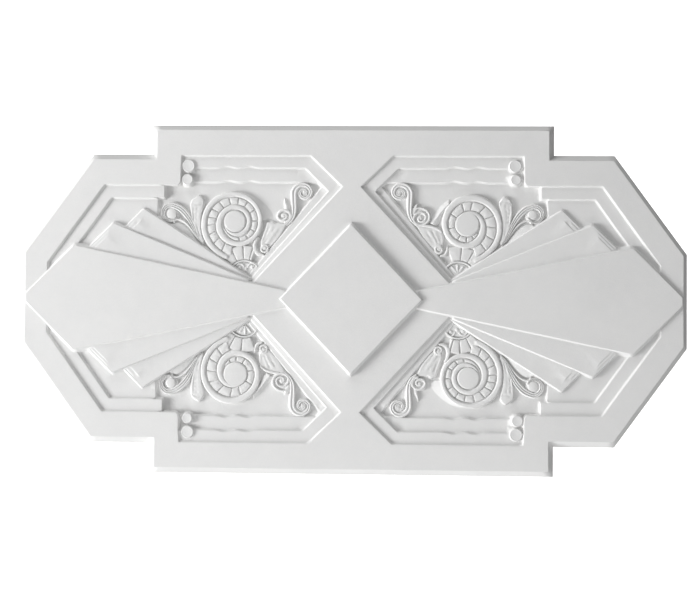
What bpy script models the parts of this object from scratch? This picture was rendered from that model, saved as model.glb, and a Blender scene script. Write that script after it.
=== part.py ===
"""A long plaster wall and ceiling panel with sunk corner fields, fans, a lozenge and rosettes.

The panel stands upright with its long side along X and its height along Z. Its flat back lies
in the plane Y = 0 and its face looks towards -Y. Units are metres. Most outlines are drawn for
one quarter, with x measured outwards and z upwards from the centre, and are then mirrored.
A height is a distance in front of the back.
"""
import math

import bmesh
import bpy
from mathutils import Vector

# Heights in front of the back
FRAME = 0.0200
BAND = 0.0160
FIELD = 0.0120
GROUND = 0.0075
ROOT = 0.0050
BLADE_RISE = 0.0040
CENTRE_BLADE = 0.0245
SLIP_RISE = 0.0009
LOZENGE = 0.0300
STUD = 0.0195

# Heights of the carving, in front of the back
RIM = GROUND + 0.0080
BOSS = GROUND + 0.0085
BLOCK = GROUND + 0.0062
CHANNEL = GROUND + 0.0036
STEM = GROUND + 0.0065
LEAF = GROUND + 0.0060
FLUTE = GROUND + 0.0048

# Run of a wall for each unit of its height
WALL_SPLAY = 0.6
CARVED_SPLAY = 0.35
CROWN_SHARE = 0.55
CUTTER_HEADROOM = 0.0060

# Outline of the face, one quarter
BLOCK_HALF_LENGTH = 0.3511
BLOCK_HALF_HEIGHT = 0.3028
SHOULDER_HALF_HEIGHT = 0.2494
SHOULDER_HALF_LENGTH = 0.4652
END_HALF_LENGTH = 0.5880
END_HALF_HEIGHT = 0.0805

# Sunk corner fields, one quarter
FIELD_TOP = 0.2575
SECOND_EDGE = 0.2360
THIRD_EDGE = 0.2110
FIELD_SIDE = 0.3070
BAND_TOP = 0.2043
BAND_FOOT = 0.1810
BAND_START = 0.3346
FIELD_START = 0.3500
FAN_FOOT = (0.1795, 0.0265)
WAVE_RISE = 0.0030
WAVE_CRESTS = (0.1850, 0.2250)
WAVE_LENGTH = 0.0400
WAVE_STEPS = 4

# Centre lozenge and fan
LOZENGE_HALF_WIDTH = 0.1251
LOZENGE_HALF_HEIGHT = 0.1321
CENTRE_BLADE_CORNER = (0.4980, 0.0935)
CENTRE_BLADE_TIP = (0.5850, 0.0070)
SECOND_BLADE_CORNER = (0.4290, 0.1340)
SECOND_BLADE_END = (0.4740, 0.0900)
THIRD_BLADE_CORNER = (0.3750, 0.1610)
THIRD_BLADE_END = (0.4120, 0.1240)

# Steep jambs where the three steps of a field end together at its outer corner
JAMB_SPLAY = 0.16
JAMB_SINK = 0.0001
JAMB_SIDE = 0.3082
JAMB_TURN = 0.0075
JAMB_END = 0.3400
STEP_SIDE = 0.3352
STEP_END = 0.3480

# Studs in the outer corner of each field: centre and radius, for each carved model
STUDS = {"first": (((0.2942, 0.2374), 0.0104), ((0.2946, 0.2160), 0.0082)),
         "second": (((0.2913, 0.2393), 0.0104), ((0.2921, 0.2147), 0.0082))}
STUD_SIDES = 12
STUD_CROWN = 0.0004

# The four carved fields are two models, each used twice by a half turn.
# Rosette: centre, outer radius and width of its rim at each quarter turn inwards from the right
ROSETTE_CENTRES = {"first": (0.2100, 0.1390), "second": (0.2066, 0.1352)}
RIM_RADII = {"first": (0.0618, 0.0538, 0.0504, 0.0445, 0.0340, 0.0303, 0.0303),
             "second": (0.0633, 0.0535, 0.0452, 0.0432, 0.0330, 0.0240, 0.0215)}
RIM_WIDTHS = {"first": (0.0113, 0.0098, 0.0089, 0.0095, 0.0120, 0.0098, 0.0098),
              "second": (0.0110, 0.0125, 0.0112, 0.0108, 0.0108, 0.0050, 0.0040)}
RIM_ENDS = {"first": 530.0, "second": 450.0}
BOSS_RADII = {"first": 0.0190, "second": 0.0208}
RIM_TAIL = -76.0
RIM_STEP = 24.0
FULL_TURN = 360.0
FLOOR_STEP = 24.0
BOSS_SIDES = 16
BOSS_CROWN = 0.0012
BLOCK_COUNT = 13
BLOCK_START = -70.0
BLOCK_PITCH = 27.0
BLOCK_SHARE = 0.82
BLOCK_MARGIN = 0.0016

# Fluted shell under the rosette, round the foot of the fan
SHELL_CENTRE = (0.1920, 0.0400)
SHELL_INNER = 0.0310
SHELL_OUTER = 0.0535
SHELL_SPANS = ((104.0, 88.0), (86.0, 64.0), (62.0, 41.0))
ARCH_RADIUS = 0.0285
ARCH_WIDTH = 0.0036
ARCH_SPAN = (42.0, 138.0)
ARCH_STEPS = 7
PALMETTE_FOOT = (0.1900, 0.0465)
PALMETTE_LEAVES = ((132.0, 0.0190), (92.0, 0.0170), (50.0, 0.0180))

PLASTER_COLOUR = (0.86, 0.86, 0.85, 1.0)
PLASTER_ROUGHNESS = 0.75


def offset_outline(outline, distance):
    """Moves every side of a closed outline outwards by the distance, with mitred corners."""
    points = [Vector(point) for point in outline]
    count = len(points)
    area = sum(points[i - 1].cross(points[i]) for i in range(count))
    turn = 1.0 if area > 0 else -1.0
    moved = []
    for index, point in enumerate(points):
        before = (point - points[index - 1]).normalized()
        after = (points[(index + 1) % count] - point).normalized()
        side_before = turn * Vector((before.y, -before.x))
        side_after = turn * Vector((after.y, -after.x))
        middle = side_before + side_after
        reach = 2.0 * distance / max(middle.length_squared, 0.5)
        moved.append(point + middle * reach)
    return moved


def add_body(shape, rings, mirror):
    """Adds one closed body from rings of (x, z, height) points, capped at both ends."""
    loops = []
    for ring in rings:
        loops.append([shape.verts.new((mirror[0] * x, -height, mirror[1] * z))
                      for x, z, height in ring])
    count = len(loops[0])
    faces = [shape.faces.new(loops[0]), shape.faces.new(loops[-1])]
    for low, high in zip(loops, loops[1:]):
        for i in range(count):
            j = (i + 1) % count
            faces.append(shape.faces.new((low[i], low[j], high[j], high[i])))
    bmesh.ops.recalc_face_normals(shape, faces=faces)


def add_plate(shape, outline, height, floor, mirror, splay=WALL_SPLAY, crown=0.0):
    """Adds a plate with splayed walls; its outline is given at its face."""
    foot = offset_outline(outline, splay * (height - floor))
    rings = [[(x, z, floor) for x, z in foot], [(x, z, height) for x, z in outline]]
    if crown:
        centre = sum((Vector(point) for point in outline), Vector((0.0, 0.0))) / len(outline)
        inner = [centre.lerp(Vector(point), CROWN_SHARE) for point in outline]
        rings.append([(x, z, height + crown) for x, z in inner])
    add_body(shape, rings, mirror)


def add_pocket(shape, outline, edge, floor, mirror):
    """Adds the cutter of a sunk field; its outline is given at the height of its edge."""
    above = offset_outline(outline, WALL_SPLAY * CUTTER_HEADROOM)
    below = offset_outline(outline, -WALL_SPLAY * (edge - floor))
    add_body(shape, [[(x, z, floor) for x, z in below],
                     [(x, z, edge + CUTTER_HEADROOM) for x, z in above]], mirror)


def add_ribbon(shape, path, widths, height, mirror, crown=0.0):
    """Adds a stem along a path: a ridge with steep sides, and a crown along its middle if any."""
    points = [Vector(point) for point in path]
    last = len(points) - 1
    rings = []
    for index, point in enumerate(points):
        ahead = points[min(index + 1, last)] - points[max(index - 1, 0)]
        side = Vector((-ahead.y, ahead.x)).normalized()
        half = widths(index / last) / 2.0
        foot = half + CARVED_SPLAY * (height - ROOT)
        section = [(-foot, ROOT), (-half, height), (half, height), (foot, ROOT)]
        if crown:
            section.insert(2, (0.0, height + crown))
        rings.append([(*(point + side * across), level) for across, level in section])
    add_body(shape, rings, mirror)


def polar(centre, radius, degrees):
    """Gives the point at a radius and angle round a centre."""
    angle = math.radians(degrees)
    return (centre[0] + radius * math.cos(angle), centre[1] + radius * math.sin(angle))


def circle(centre, radius, sides):
    """Gives a regular outline round a centre."""
    return [polar(centre, radius, 360.0 * i / sides) for i in range(sides)]


def smooth_path(points, steps):
    """Gives a curve through the points, with the same number of steps between each pair."""
    knots = [Vector(point) for point in points]
    curve = []
    for index in range(len(knots) - 1):
        before = knots[max(index - 1, 0)]
        start, end = knots[index], knots[index + 1]
        after = knots[min(index + 2, len(knots) - 1)]
        for step in range(steps):
            t = step / steps
            curve.append(0.5 * (2.0 * start + (end - before) * t
                                + (2.0 * before - 5.0 * start + 4.0 * end - after) * t ** 2
                                + (3.0 * start - before - 3.0 * end + after) * t ** 3))
    curve.append(knots[-1])
    return curve


def volute(centre, outer, inner, start, turn, steps):
    """Gives a spiral that winds from its outer to its inner radius over a turn in degrees."""
    return [polar(centre, outer * (inner / outer) ** (i / steps), start + turn * i / steps)
            for i in range(steps + 1)]


def taper(first, last):
    """Gives a width that runs evenly from the first to the last value."""
    return lambda share: first + (last - first) * share


def swell(first, middle, last):
    """Gives a width that is widest at the middle of its path."""
    return lambda share: (first + (last - first) * share
                          + 4.0 * share * (1.0 - share) * (middle - (first + last) / 2.0))


def wavy_edge(level, from_x, to_x):
    """Gives a straight edge that rises over two low waves."""
    points = [(from_x, level)]
    first, second = WAVE_CRESTS
    for crest in (second, first) if from_x > to_x else (first, second):
        heading = -1.0 if from_x > to_x else 1.0
        for step in range(WAVE_STEPS + 1):
            share = step / WAVE_STEPS
            x = crest + heading * WAVE_LENGTH * (share - 0.5)
            lift = WAVE_RISE * math.sin(math.pi * share) ** 2
            if abs(x - points[-1][0]) > WAVE_RISE:
                points.append((x, level + lift))
    points.append((to_x, level))
    return points


def at_angle(quarters, degrees):
    """Gives a value at a wound angle from its values at each quarter turn."""
    quarter = max(min(degrees / 90.0, len(quarters) - 1.001), -1.0)
    index = max(math.floor(quarter), 0)
    low, high = quarters[index], quarters[index + 1]
    return low * (high / low) ** (quarter - index)


def add_rosette(shape, model, mirror):
    """Adds the spiral rosette: its sunk floor, its wound rim, its blocks and its boss."""
    centre = ROSETTE_CENTRES[model]
    radii, widths, boss = RIM_RADII[model], RIM_WIDTHS[model], BOSS_RADII[model]

    def middle(degrees):
        """Gives a point on the rim's middle line."""
        return polar(centre, at_angle(radii, degrees) - at_angle(widths, degrees) / 2.0, degrees)

    floor_steps = int(FULL_TURN / FLOOR_STEP)
    snail = [middle(RIM_TAIL + FLOOR_STEP * i) for i in range(floor_steps)]
    add_plate(shape, snail, CHANNEL, ROOT, mirror, CARVED_SPLAY)
    wound = RIM_ENDS[model] - RIM_TAIL
    steps = int(wound / RIM_STEP)
    path = [middle(RIM_TAIL + wound * i / steps) for i in range(steps + 1)]
    add_ribbon(shape, path, lambda share: at_angle(widths, RIM_TAIL + wound * share), RIM, mirror)
    add_plate(shape, circle(centre, boss, BOSS_SIDES), BOSS, ROOT, mirror, CARVED_SPLAY,
              BOSS_CROWN)
    for number in range(BLOCK_COUNT):
        start = BLOCK_START + BLOCK_PITCH * number
        end = start + BLOCK_PITCH * BLOCK_SHARE
        outline = []
        for angle in (start, (start + end) / 2.0, end):
            radius = at_angle(radii, angle) - at_angle(widths, angle) - BLOCK_MARGIN
            outline.append(polar(centre, radius, angle))
        for angle in (end, start):
            radius = max(at_angle(radii, angle + FULL_TURN), boss) + BLOCK_MARGIN
            outline.append(polar(centre, radius, angle))
        add_plate(shape, outline, BLOCK, ROOT, mirror, 0.0)


def add_shell(shape, mirror):
    """Adds the fluted shell, the arch and the small palmette round the foot of the fan."""
    for first, last in SHELL_SPANS:
        angles = (first, (first + last) / 2.0, last)
        outline = [polar(SHELL_CENTRE, SHELL_OUTER, angle) for angle in angles]
        outline += [polar(SHELL_CENTRE, SHELL_INNER, angle) for angle in (last, first)]
        add_plate(shape, outline, FLUTE, ROOT, mirror, CARVED_SPLAY)
    low, high = ARCH_SPAN
    arch = [polar(SHELL_CENTRE, ARCH_RADIUS, low + (high - low) * i / ARCH_STEPS)
            for i in range(ARCH_STEPS + 1)]
    add_ribbon(shape, arch, taper(ARCH_WIDTH, ARCH_WIDTH), STEM, mirror)
    for angle, length in PALMETTE_LEAVES:
        leaf = [polar(PALMETTE_FOOT, length * share, angle) for share in (0.1, 0.5, 1.0)]
        add_ribbon(shape, leaf, swell(0.0030, 0.0080, 0.0035), FLUTE, mirror)


def add_inner_scrolls(shape, model, mirror):
    """Adds the scrollwork between the rosette and the centre of the panel."""
    stem = [(0.1170, 0.1340), (0.1095, 0.1410), (0.1050, 0.1500), (0.1035, 0.1610),
            (0.1042, 0.1780)]
    top = volute((0.0865, 0.1905), 0.0180, 0.0068, 0.0, 400.0, 11)
    add_ribbon(shape, smooth_path(stem, 1) + top, swell(0.0050, 0.0125, 0.0050), STEM, mirror)
    add_plate(shape, circle((0.0865, 0.1905), 0.0045, 8), STEM, ROOT, mirror, CARVED_SPLAY)
    if model == "first":
        second = volute((0.1220, 0.1490), 0.0118, 0.0068, -100.0, -400.0, 11)
        add_ribbon(shape, second, taper(0.0055, 0.0040), STEM, mirror)
        add_plate(shape, circle((0.1220, 0.1490), 0.0030, 6), STEM, ROOT, mirror, CARVED_SPLAY)
        bud = [(0.1105, 0.1600), (0.1160, 0.1720), (0.1213, 0.1805)]
        wing = [(0.1180, 0.1330), (0.1360, 0.1380), (0.1500, 0.1515), (0.1670, 0.1715),
                (0.1890, 0.1855), (0.1960, 0.1870), (0.1620, 0.1440), (0.1540, 0.1310),
                (0.1280, 0.1310)]
        add_plate(shape, wing, LEAF, ROOT, mirror, WALL_SPLAY)
        cup = [(0.1180, 0.1350), (0.1275, 0.1170), (0.1410, 0.0995), (0.1490, 0.0920),
               (0.1570, 0.0910), (0.1630, 0.1030), (0.1570, 0.1210), (0.1530, 0.1420),
               (0.1410, 0.1348)]
        crescent = [(0.1590, 0.0790), (0.1725, 0.0865), (0.1745, 0.0950), (0.1680, 0.1110)]
        widths = swell(0.0035, 0.0085, 0.0040)
    else:
        second = volute((0.1240, 0.1460), 0.0180, 0.0062, 115.0, -560.0, 15)
        add_ribbon(shape, second, taper(0.0044, 0.0036), STEM, mirror)
        add_plate(shape, circle((0.1240, 0.1460), 0.0028, 6), STEM, ROOT, mirror, CARVED_SPLAY)
        bud = [(0.1085, 0.1570), (0.1135, 0.1660), (0.1200, 0.1670)]
        wing = [(0.1400, 0.1340), (0.1480, 0.1440), (0.1640, 0.1650)]
        add_ribbon(shape, wing, taper(0.0060, 0.0070), STEM, mirror)
        cup = [(0.1120, 0.1380), (0.1240, 0.1210), (0.1360, 0.1040), (0.1490, 0.0915),
               (0.1570, 0.0910), (0.1640, 0.1040), (0.1615, 0.1230), (0.1420, 0.1320)]
        crescent = [(0.1785, 0.0745), (0.1780, 0.0840), (0.1740, 0.1010)]
        widths = swell(0.0030, 0.0042, 0.0030)
    add_ribbon(shape, bud, swell(0.0040, 0.0095, 0.0025), LEAF, mirror)
    add_plate(shape, cup, LEAF, ROOT, mirror, CARVED_SPLAY)
    add_ribbon(shape, crescent, widths, STEM, mirror)
    third = volute((0.1570, 0.0902), 0.0072, 0.0036, 62.0, 330.0, 9)
    add_ribbon(shape, third, taper(0.0046, 0.0034), STEM, mirror)


def add_outer_scrolls(shape, mirror):
    """Adds the bud, the scroll and the leaf between the rosette and the field's end."""
    bud = [(0.2750, 0.1865), (0.2893, 0.1775), (0.2913, 0.1680), (0.2883, 0.1460),
           (0.2815, 0.1240), (0.2685, 0.0995), (0.2705, 0.1120), (0.2725, 0.1400),
           (0.2676, 0.1700), (0.2690, 0.1800)]
    add_plate(shape, bud, LEAF, ROOT, mirror, CARVED_SPLAY)
    stem = [(0.2685, 0.0990), (0.2835, 0.1260), (0.2915, 0.1410), (0.3005, 0.1535),
            (0.3110, 0.1628)]
    scroll = volute((0.3252, 0.1530), 0.0152, 0.0078, 97.0, -400.0, 12)
    add_ribbon(shape, stem + scroll, swell(0.0050, 0.0115, 0.0050), STEM, mirror)
    add_plate(shape, circle((0.3252, 0.1530), 0.0050, 8), STEM, ROOT, mirror, CARVED_SPLAY)
    leaf = [(0.2750, 0.1030), (0.2900, 0.1245), (0.3040, 0.1390), (0.3185, 0.1420),
            (0.3235, 0.1340), (0.3060, 0.1200)]
    add_plate(shape, leaf, FLUTE, ROOT, mirror, CARVED_SPLAY)


def add_jambs(shape, mirror):
    """Adds the frame's and the band's steep ends beside the outer corner of a field."""
    corner = [(JAMB_SIDE, BAND_TOP + JAMB_TURN), (JAMB_SIDE + JAMB_TURN, BAND_TOP),
              (JAMB_END, BAND_TOP)]
    above = [(JAMB_END, FIELD_TOP - JAMB_TURN), (JAMB_SIDE, FIELD_TOP - JAMB_TURN)]
    add_plate(shape, corner + above, FRAME - JAMB_SINK, ROOT, mirror, JAMB_SPLAY)
    step = [(STEP_SIDE, BAND_FOOT), (STEP_END, BAND_FOOT), (STEP_END, BAND_TOP),
            (STEP_SIDE, BAND_TOP)]
    add_plate(shape, step, BAND - JAMB_SINK, ROOT, mirror, JAMB_SPLAY)


def add_fields(shape, mirror):
    """Adds the three stepped cutters of one sunk corner field."""
    first = [(FIELD_SIDE, FIELD_TOP), (0.0740, FIELD_TOP), (0.0170, 0.2025), FAN_FOOT,
             (0.3000, 0.0380), (0.5480, 0.0400), (0.5480, 0.0630), (0.4460, BAND_TOP),
             (0.3105, BAND_TOP)]
    add_pocket(shape, first, FRAME, BAND, mirror)
    second = wavy_edge(SECOND_EDGE, FIELD_SIDE + 0.0005, 0.0840)
    second += [(0.0420, 0.1945), (0.1840, 0.0330), (0.4800, 0.0600), (0.4975, 0.0925),
               (0.4340, BAND_FOOT), (0.3450, BAND_FOOT), (0.3420, 0.1700), (0.3000, 0.1900),
               (0.3093, 0.2070)]
    add_pocket(shape, second, BAND, FIELD, mirror)
    third = wavy_edge(THIRD_EDGE, 0.3090, 0.0608)
    third += [(0.0528, 0.2030), (0.1870, 0.0400), (0.2150, 0.0450), (0.3520, 0.1200),
              (FIELD_START, BAND_FOOT - 0.0016), (BAND_START, BAND_FOOT - 0.0016),
              (BAND_START, BAND_TOP - 0.0038), (0.3105, BAND_TOP - 0.0038)]
    add_pocket(shape, third, FIELD, GROUND, mirror)


def add_side_blades(shape, mirror):
    """Adds the two outer blades of a fan and the thin slips that lie on them."""
    second = [(0.1820, 0.0330), SECOND_BLADE_CORNER, SECOND_BLADE_END, (0.4600, 0.0600),
              (0.2000, 0.0200)]
    third = [(0.1720, 0.0310), THIRD_BLADE_CORNER, THIRD_BLADE_END, (0.4000, 0.0900),
             (0.2000, 0.0300)]
    slip = [(0.2000, 0.0400), (0.4380, 0.1110), (0.4580, 0.0870), (0.4400, 0.0600)]
    lower_slip = [(0.2000, 0.0450), (0.3820, 0.1360), (0.3985, 0.1220), (0.3900, 0.0900)]
    second_height = CENTRE_BLADE - BLADE_RISE
    third_height = second_height - BLADE_RISE
    add_plate(shape, third, third_height, ROOT, mirror)
    add_plate(shape, second, second_height, ROOT, mirror)
    add_plate(shape, slip, second_height + SLIP_RISE, FIELD, mirror)
    add_plate(shape, lower_slip, third_height + SLIP_RISE, FIELD, mirror)


def add_centre_blade(shape, side):
    """Adds the broad middle blade of one fan, whose point is cut off by the panel's end."""
    corner_x, corner_z = CENTRE_BLADE_CORNER
    tip_x, tip_z = CENTRE_BLADE_TIP
    upper = [(0.0410, 0.0), (0.1680, 0.0250), (corner_x, corner_z), (tip_x, tip_z)]
    lower = [(x, -z) for x, z in reversed(upper[1:])]
    add_plate(shape, upper + lower, CENTRE_BLADE, ROOT, (side, 1.0))


def face_outline():
    """Gives the whole outline of the panel's face."""
    quarter = [(END_HALF_LENGTH, END_HALF_HEIGHT), (SHOULDER_HALF_LENGTH, SHOULDER_HALF_HEIGHT),
               (BLOCK_HALF_LENGTH, SHOULDER_HALF_HEIGHT), (BLOCK_HALF_LENGTH, BLOCK_HALF_HEIGHT)]
    upper = quarter + [(-x, z) for x, z in reversed(quarter)]
    return upper + [(x, -z) for x, z in reversed(upper)]


def make_object(name, shape, is_cutter):
    """Turns a shape into an object; one that only cuts or adds to the panel is kept hidden."""
    mesh = bpy.data.meshes.new(name)
    shape.to_mesh(mesh)
    shape.free()
    made = bpy.data.objects.new(name, mesh)
    bpy.context.scene.collection.objects.link(made)
    if is_cutter:
        made.hide_render = True
        made.display_type = 'WIRE'
    return made


def combine(panel, other, operation):
    """Adds an exact Boolean with the other object to the panel."""
    step = panel.modifiers.new(other.name, 'BOOLEAN')
    step.operation = operation
    step.solver = 'EXACT'
    step.use_self = True
    step.object = other


def plaster():
    """Gives the matt white plaster of the casting."""
    material = bpy.data.materials.new("white_plaster")
    material.use_nodes = True
    shader = material.node_tree.nodes["Principled BSDF"]
    shader.inputs["Base Color"].default_value = PLASTER_COLOUR
    shader.inputs["Roughness"].default_value = PLASTER_ROUGHNESS
    shader.inputs["Metallic"].default_value = 0.0
    return material


def build():
    """Builds the panel as one solid."""
    for old in list(bpy.data.objects):
        bpy.data.objects.remove(old, do_unlink=True)
    slab = bmesh.new()
    add_plate(slab, face_outline(), FRAME, 0.0, (1.0, 1.0))
    panel = make_object("plaster_panel", slab, False)
    panel.data.materials.append(plaster())
    fields = bmesh.new()
    fan = bmesh.new()
    carving = bmesh.new()
    for side, rise, model in ((1.0, 1.0, "second"), (-1.0, 1.0, "first"),
                              (-1.0, -1.0, "second"), (1.0, -1.0, "first")):
        mirror = (side, rise)
        add_fields(fields, mirror)
        add_side_blades(fan, mirror)
        add_jambs(fan, mirror)
        add_rosette(carving, model, mirror)
        add_shell(carving, mirror)
        add_inner_scrolls(carving, model, mirror)
        add_outer_scrolls(carving, mirror)
        for centre, radius in STUDS[model]:
            add_plate(carving, circle(centre, radius, STUD_SIDES), STUD, ROOT, mirror,
                      CARVED_SPLAY, STUD_CROWN)
    for side in (-1.0, 1.0):
        add_centre_blade(fan, side)
    add_plate(fan, [(LOZENGE_HALF_WIDTH, 0.0), (0.0, LOZENGE_HALF_HEIGHT),
                    (-LOZENGE_HALF_WIDTH, 0.0), (0.0, -LOZENGE_HALF_HEIGHT)],
              LOZENGE, ROOT, (1.0, 1.0))
    combine(panel, make_object("sunk_fields", fields, True), 'DIFFERENCE')
    combine(panel, make_object("fan_and_lozenge", fan, True), 'UNION')
    combine(panel, make_object("carving", carving, True), 'UNION')


build()
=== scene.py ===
"""A long white plaster panel: its carved face, its matt finish and a plain pale studio.

The whole casting is one surface. Its height above the flat back is a function of the place on
the panel, put together from sunk fields, splayed plates and carved ridges, and softened where
they meet as wet plaster softens in a mould. The surface is sampled along every edge and along
every carved stem, so that the mesh follows the work. Units are metres. Most shapes are drawn
for one quarter, with x measured outwards and z upwards from the centre of the panel.
"""
import logging
import math
from dataclasses import dataclass, field
from enum import Enum
from typing import Iterable, Sequence

import bpy
import numpy as np
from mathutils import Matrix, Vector
from mathutils.geometry import delaunay_2d_cdt


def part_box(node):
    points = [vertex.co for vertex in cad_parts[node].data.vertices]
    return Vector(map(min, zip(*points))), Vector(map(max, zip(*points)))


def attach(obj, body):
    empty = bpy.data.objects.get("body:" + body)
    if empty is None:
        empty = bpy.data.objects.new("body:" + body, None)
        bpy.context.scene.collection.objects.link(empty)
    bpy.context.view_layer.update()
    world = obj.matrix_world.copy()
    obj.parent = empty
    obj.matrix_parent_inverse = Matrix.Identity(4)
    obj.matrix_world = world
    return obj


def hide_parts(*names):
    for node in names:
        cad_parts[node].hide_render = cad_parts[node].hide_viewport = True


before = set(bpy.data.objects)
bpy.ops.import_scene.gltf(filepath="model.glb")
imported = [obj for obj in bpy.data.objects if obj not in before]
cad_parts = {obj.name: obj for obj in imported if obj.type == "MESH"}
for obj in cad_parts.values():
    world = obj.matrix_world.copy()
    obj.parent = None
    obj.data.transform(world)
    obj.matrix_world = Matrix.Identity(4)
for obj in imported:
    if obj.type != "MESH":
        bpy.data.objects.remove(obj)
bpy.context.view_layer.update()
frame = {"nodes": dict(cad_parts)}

NODE = "plaster_panel"
LOG = logging.getLogger("plaster_panel")
Points = np.ndarray

# Outlines: squared distances that count as the same, and the least square of a mitre.
SAME_SQUARE = 1e-12
LEAST_MITRE = 0.5

# Levels: the level of a part where it isn't, and how far a face stays under one it meets.
NOWHERE = -1.0
JUST_UNDER = 0.00002

# Rows of the mesh at walls: steps along and across them, and rows past their two ends.
ALONG_STEP = 0.0065
WALL_STEP = 0.0007
POCKET_STEP = 1.4 * WALL_STEP
ROWS_ON_FACE = 4
ROWS_PAST_FOOT = 2
EDGE_OFFSETS = (-0.0016, -0.0008, 0.0, 0.0008, 0.0016, 0.0108)

# Rows along a stem, at shares of its half width and at distances beside it.
PLAIN_SHARES = (0.0, 0.5, 0.9)
RIBBED_SHARES = (0.0, 0.17, 0.34, 0.50, 0.66, 0.84, 0.96)
BESIDE_STEM = (0.0005, 0.0013, 0.0023)

# Rings of a dome, at shares of its radius and at distances beside it.
RING_STEP = 0.0024
RING_SHARES = (0.25, 0.5, 0.70, 0.80, 0.90, 1.0)
BESIDE_DOME = (0.0006, 0.0013, 0.0021)

# Rows between the two lines of a draped surface, each with so many places.
DRAPE_PLACES = 28
DRAPE_SHARES = (-0.10, -0.04, 0.0, 0.05, 0.12, 0.25, 0.4, 0.55, 0.7, 0.85, 0.95, 1.0, 1.05)

# Low steps beside a blade: rows beside the wall, and how much more each further step rises.
SLIP_OFFSETS = (-0.0020, -0.0013, -0.0006, 0.0, 0.0006, 0.0040, 0.0150, 0.0300, 0.0500, 0.0690)
SLIP_GROWTH = 0.8

# Numbering of the cells that thin the samples: more than there are cells side by side.
KEY_STRIDE = 100_003

# Unrest of the surface: the spread of wave lengths, and the usual peak of their sum.
WAVE_SPREAD = (0.7, 1.6)
WAVE_PEAK = 1.4


class Carving(Enum):
    """The two carved models of the corner fields, each used twice by a half turn."""

    FIRST = "first"
    SECOND = "second"


@dataclass(frozen=True)
class Levels:
    """Heights in front of the flat back."""

    frame: float = 0.0200
    band: float = 0.0160
    field: float = 0.0120
    ground: float = 0.0075
    centre_blade: float = 0.0245
    second_blade: float = 0.0205
    third_blade: float = 0.0165
    slip: float = 0.0008
    lozenge: float = 0.0300
    stud: float = 0.0192
    rim: float = 0.0147
    boss: float = 0.0148
    block: float = 0.0136
    channel: float = 0.0108
    stem: float = 0.0135
    coil_floor: float = 0.0108
    leaf: float = 0.0130
    flute: float = 0.0124


@dataclass(frozen=True)
class Softness:
    """How walls lean and how far their edges are rounded."""

    splay: float = 0.6
    carved_splay: float = 0.35
    edge: float = 0.0005
    foot: float = 0.0006
    carved: float = 0.0006


LEVELS = Levels()
SOFT = Softness()


def smooth_min(first: Points, second: Points, width: float) -> Points:
    """Gives the lower of two surfaces, rounded where they cross.

    Args:
        first: heights of one surface.
        second: heights of the other surface.
        width: the difference in height over which the crossing is rounded.

    Returns:
        The lower height, less a quarter of the squared overlap: min(a, b) - h * h * width / 4,
        where h is 1 at the crossing and 0 where the heights differ by the width or more.
    """
    overlap = np.maximum(width - np.abs(first - second), 0.0) / width
    return np.minimum(first, second) - overlap * overlap * width / 4.0


def smooth_max(first: Points, second: Points, width: float) -> Points:
    """Gives the higher of two surfaces, rounded where they cross, as smooth_min does."""
    return -smooth_min(-first, -second, width)


def smooth_step(values: Points) -> Points:
    """Gives 0 below 0, 1 above 1 and the curve 3 t t - 2 t t t between."""
    t = np.clip(values, 0.0, 1.0)
    return t * t * (3.0 - 2.0 * t)


def polar(centre: Sequence[float], radius: Points, degrees: Points) -> Points:
    """Gives the points at radii and angles round a centre, one row each."""
    angle = np.radians(degrees)
    return np.stack([centre[0] + radius * np.cos(angle), centre[1] + radius * np.sin(angle)], -1)


def through(knots: Sequence[Sequence[float]], steps: int = 8) -> Points:
    """Carries a smooth curve through knots.

    Args:
        knots: the points that the curve passes.
        steps: the pieces between two knots.

    Returns:
        Points on the cubic whose slope at each knot is half the step between its neighbours.
    """
    k = np.asarray(knots, float)
    padded = np.vstack([2 * k[0] - k[1], k, 2 * k[-1] - k[-2]])
    p0, p1, p2, p3 = padded[:-3], padded[1:-2], padded[2:-1], padded[3:]
    t = (np.arange(steps) / steps)[None, :, None]
    p0, p1, p2, p3 = (p[:, None, :] for p in (p0, p1, p2, p3))
    curve = 0.5 * (2 * p1 + (p2 - p0) * t + (2 * p0 - 5 * p1 + 4 * p2 - p3) * t ** 2
                   + (3 * p1 - p0 - 3 * p2 + p3) * t ** 3)
    return np.vstack([curve.reshape(-1, 2), k[-1:]])


def side_normals(outline: Points) -> tuple[Points, float]:
    """Finds which way each side of a closed outline faces.

    Args:
        outline: the corners in order.

    Returns:
        A unit normal for each side, pointing inside, and +1 if the corners run anticlockwise
        or -1 if not. The sign is that of the area: half the sum of x1 * z2 - z1 * x2.
    """
    side = np.roll(outline, -1, 0) - outline
    area = float(np.sum(outline[:, 0] * np.roll(outline[:, 1], -1)
                        - outline[:, 1] * np.roll(outline[:, 0], -1)))
    turn = math.copysign(1.0, area)
    normal = np.stack([-side[:, 1], side[:, 0]], 1) * turn
    return normal / np.linalg.norm(side, axis=1)[:, None], turn


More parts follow.
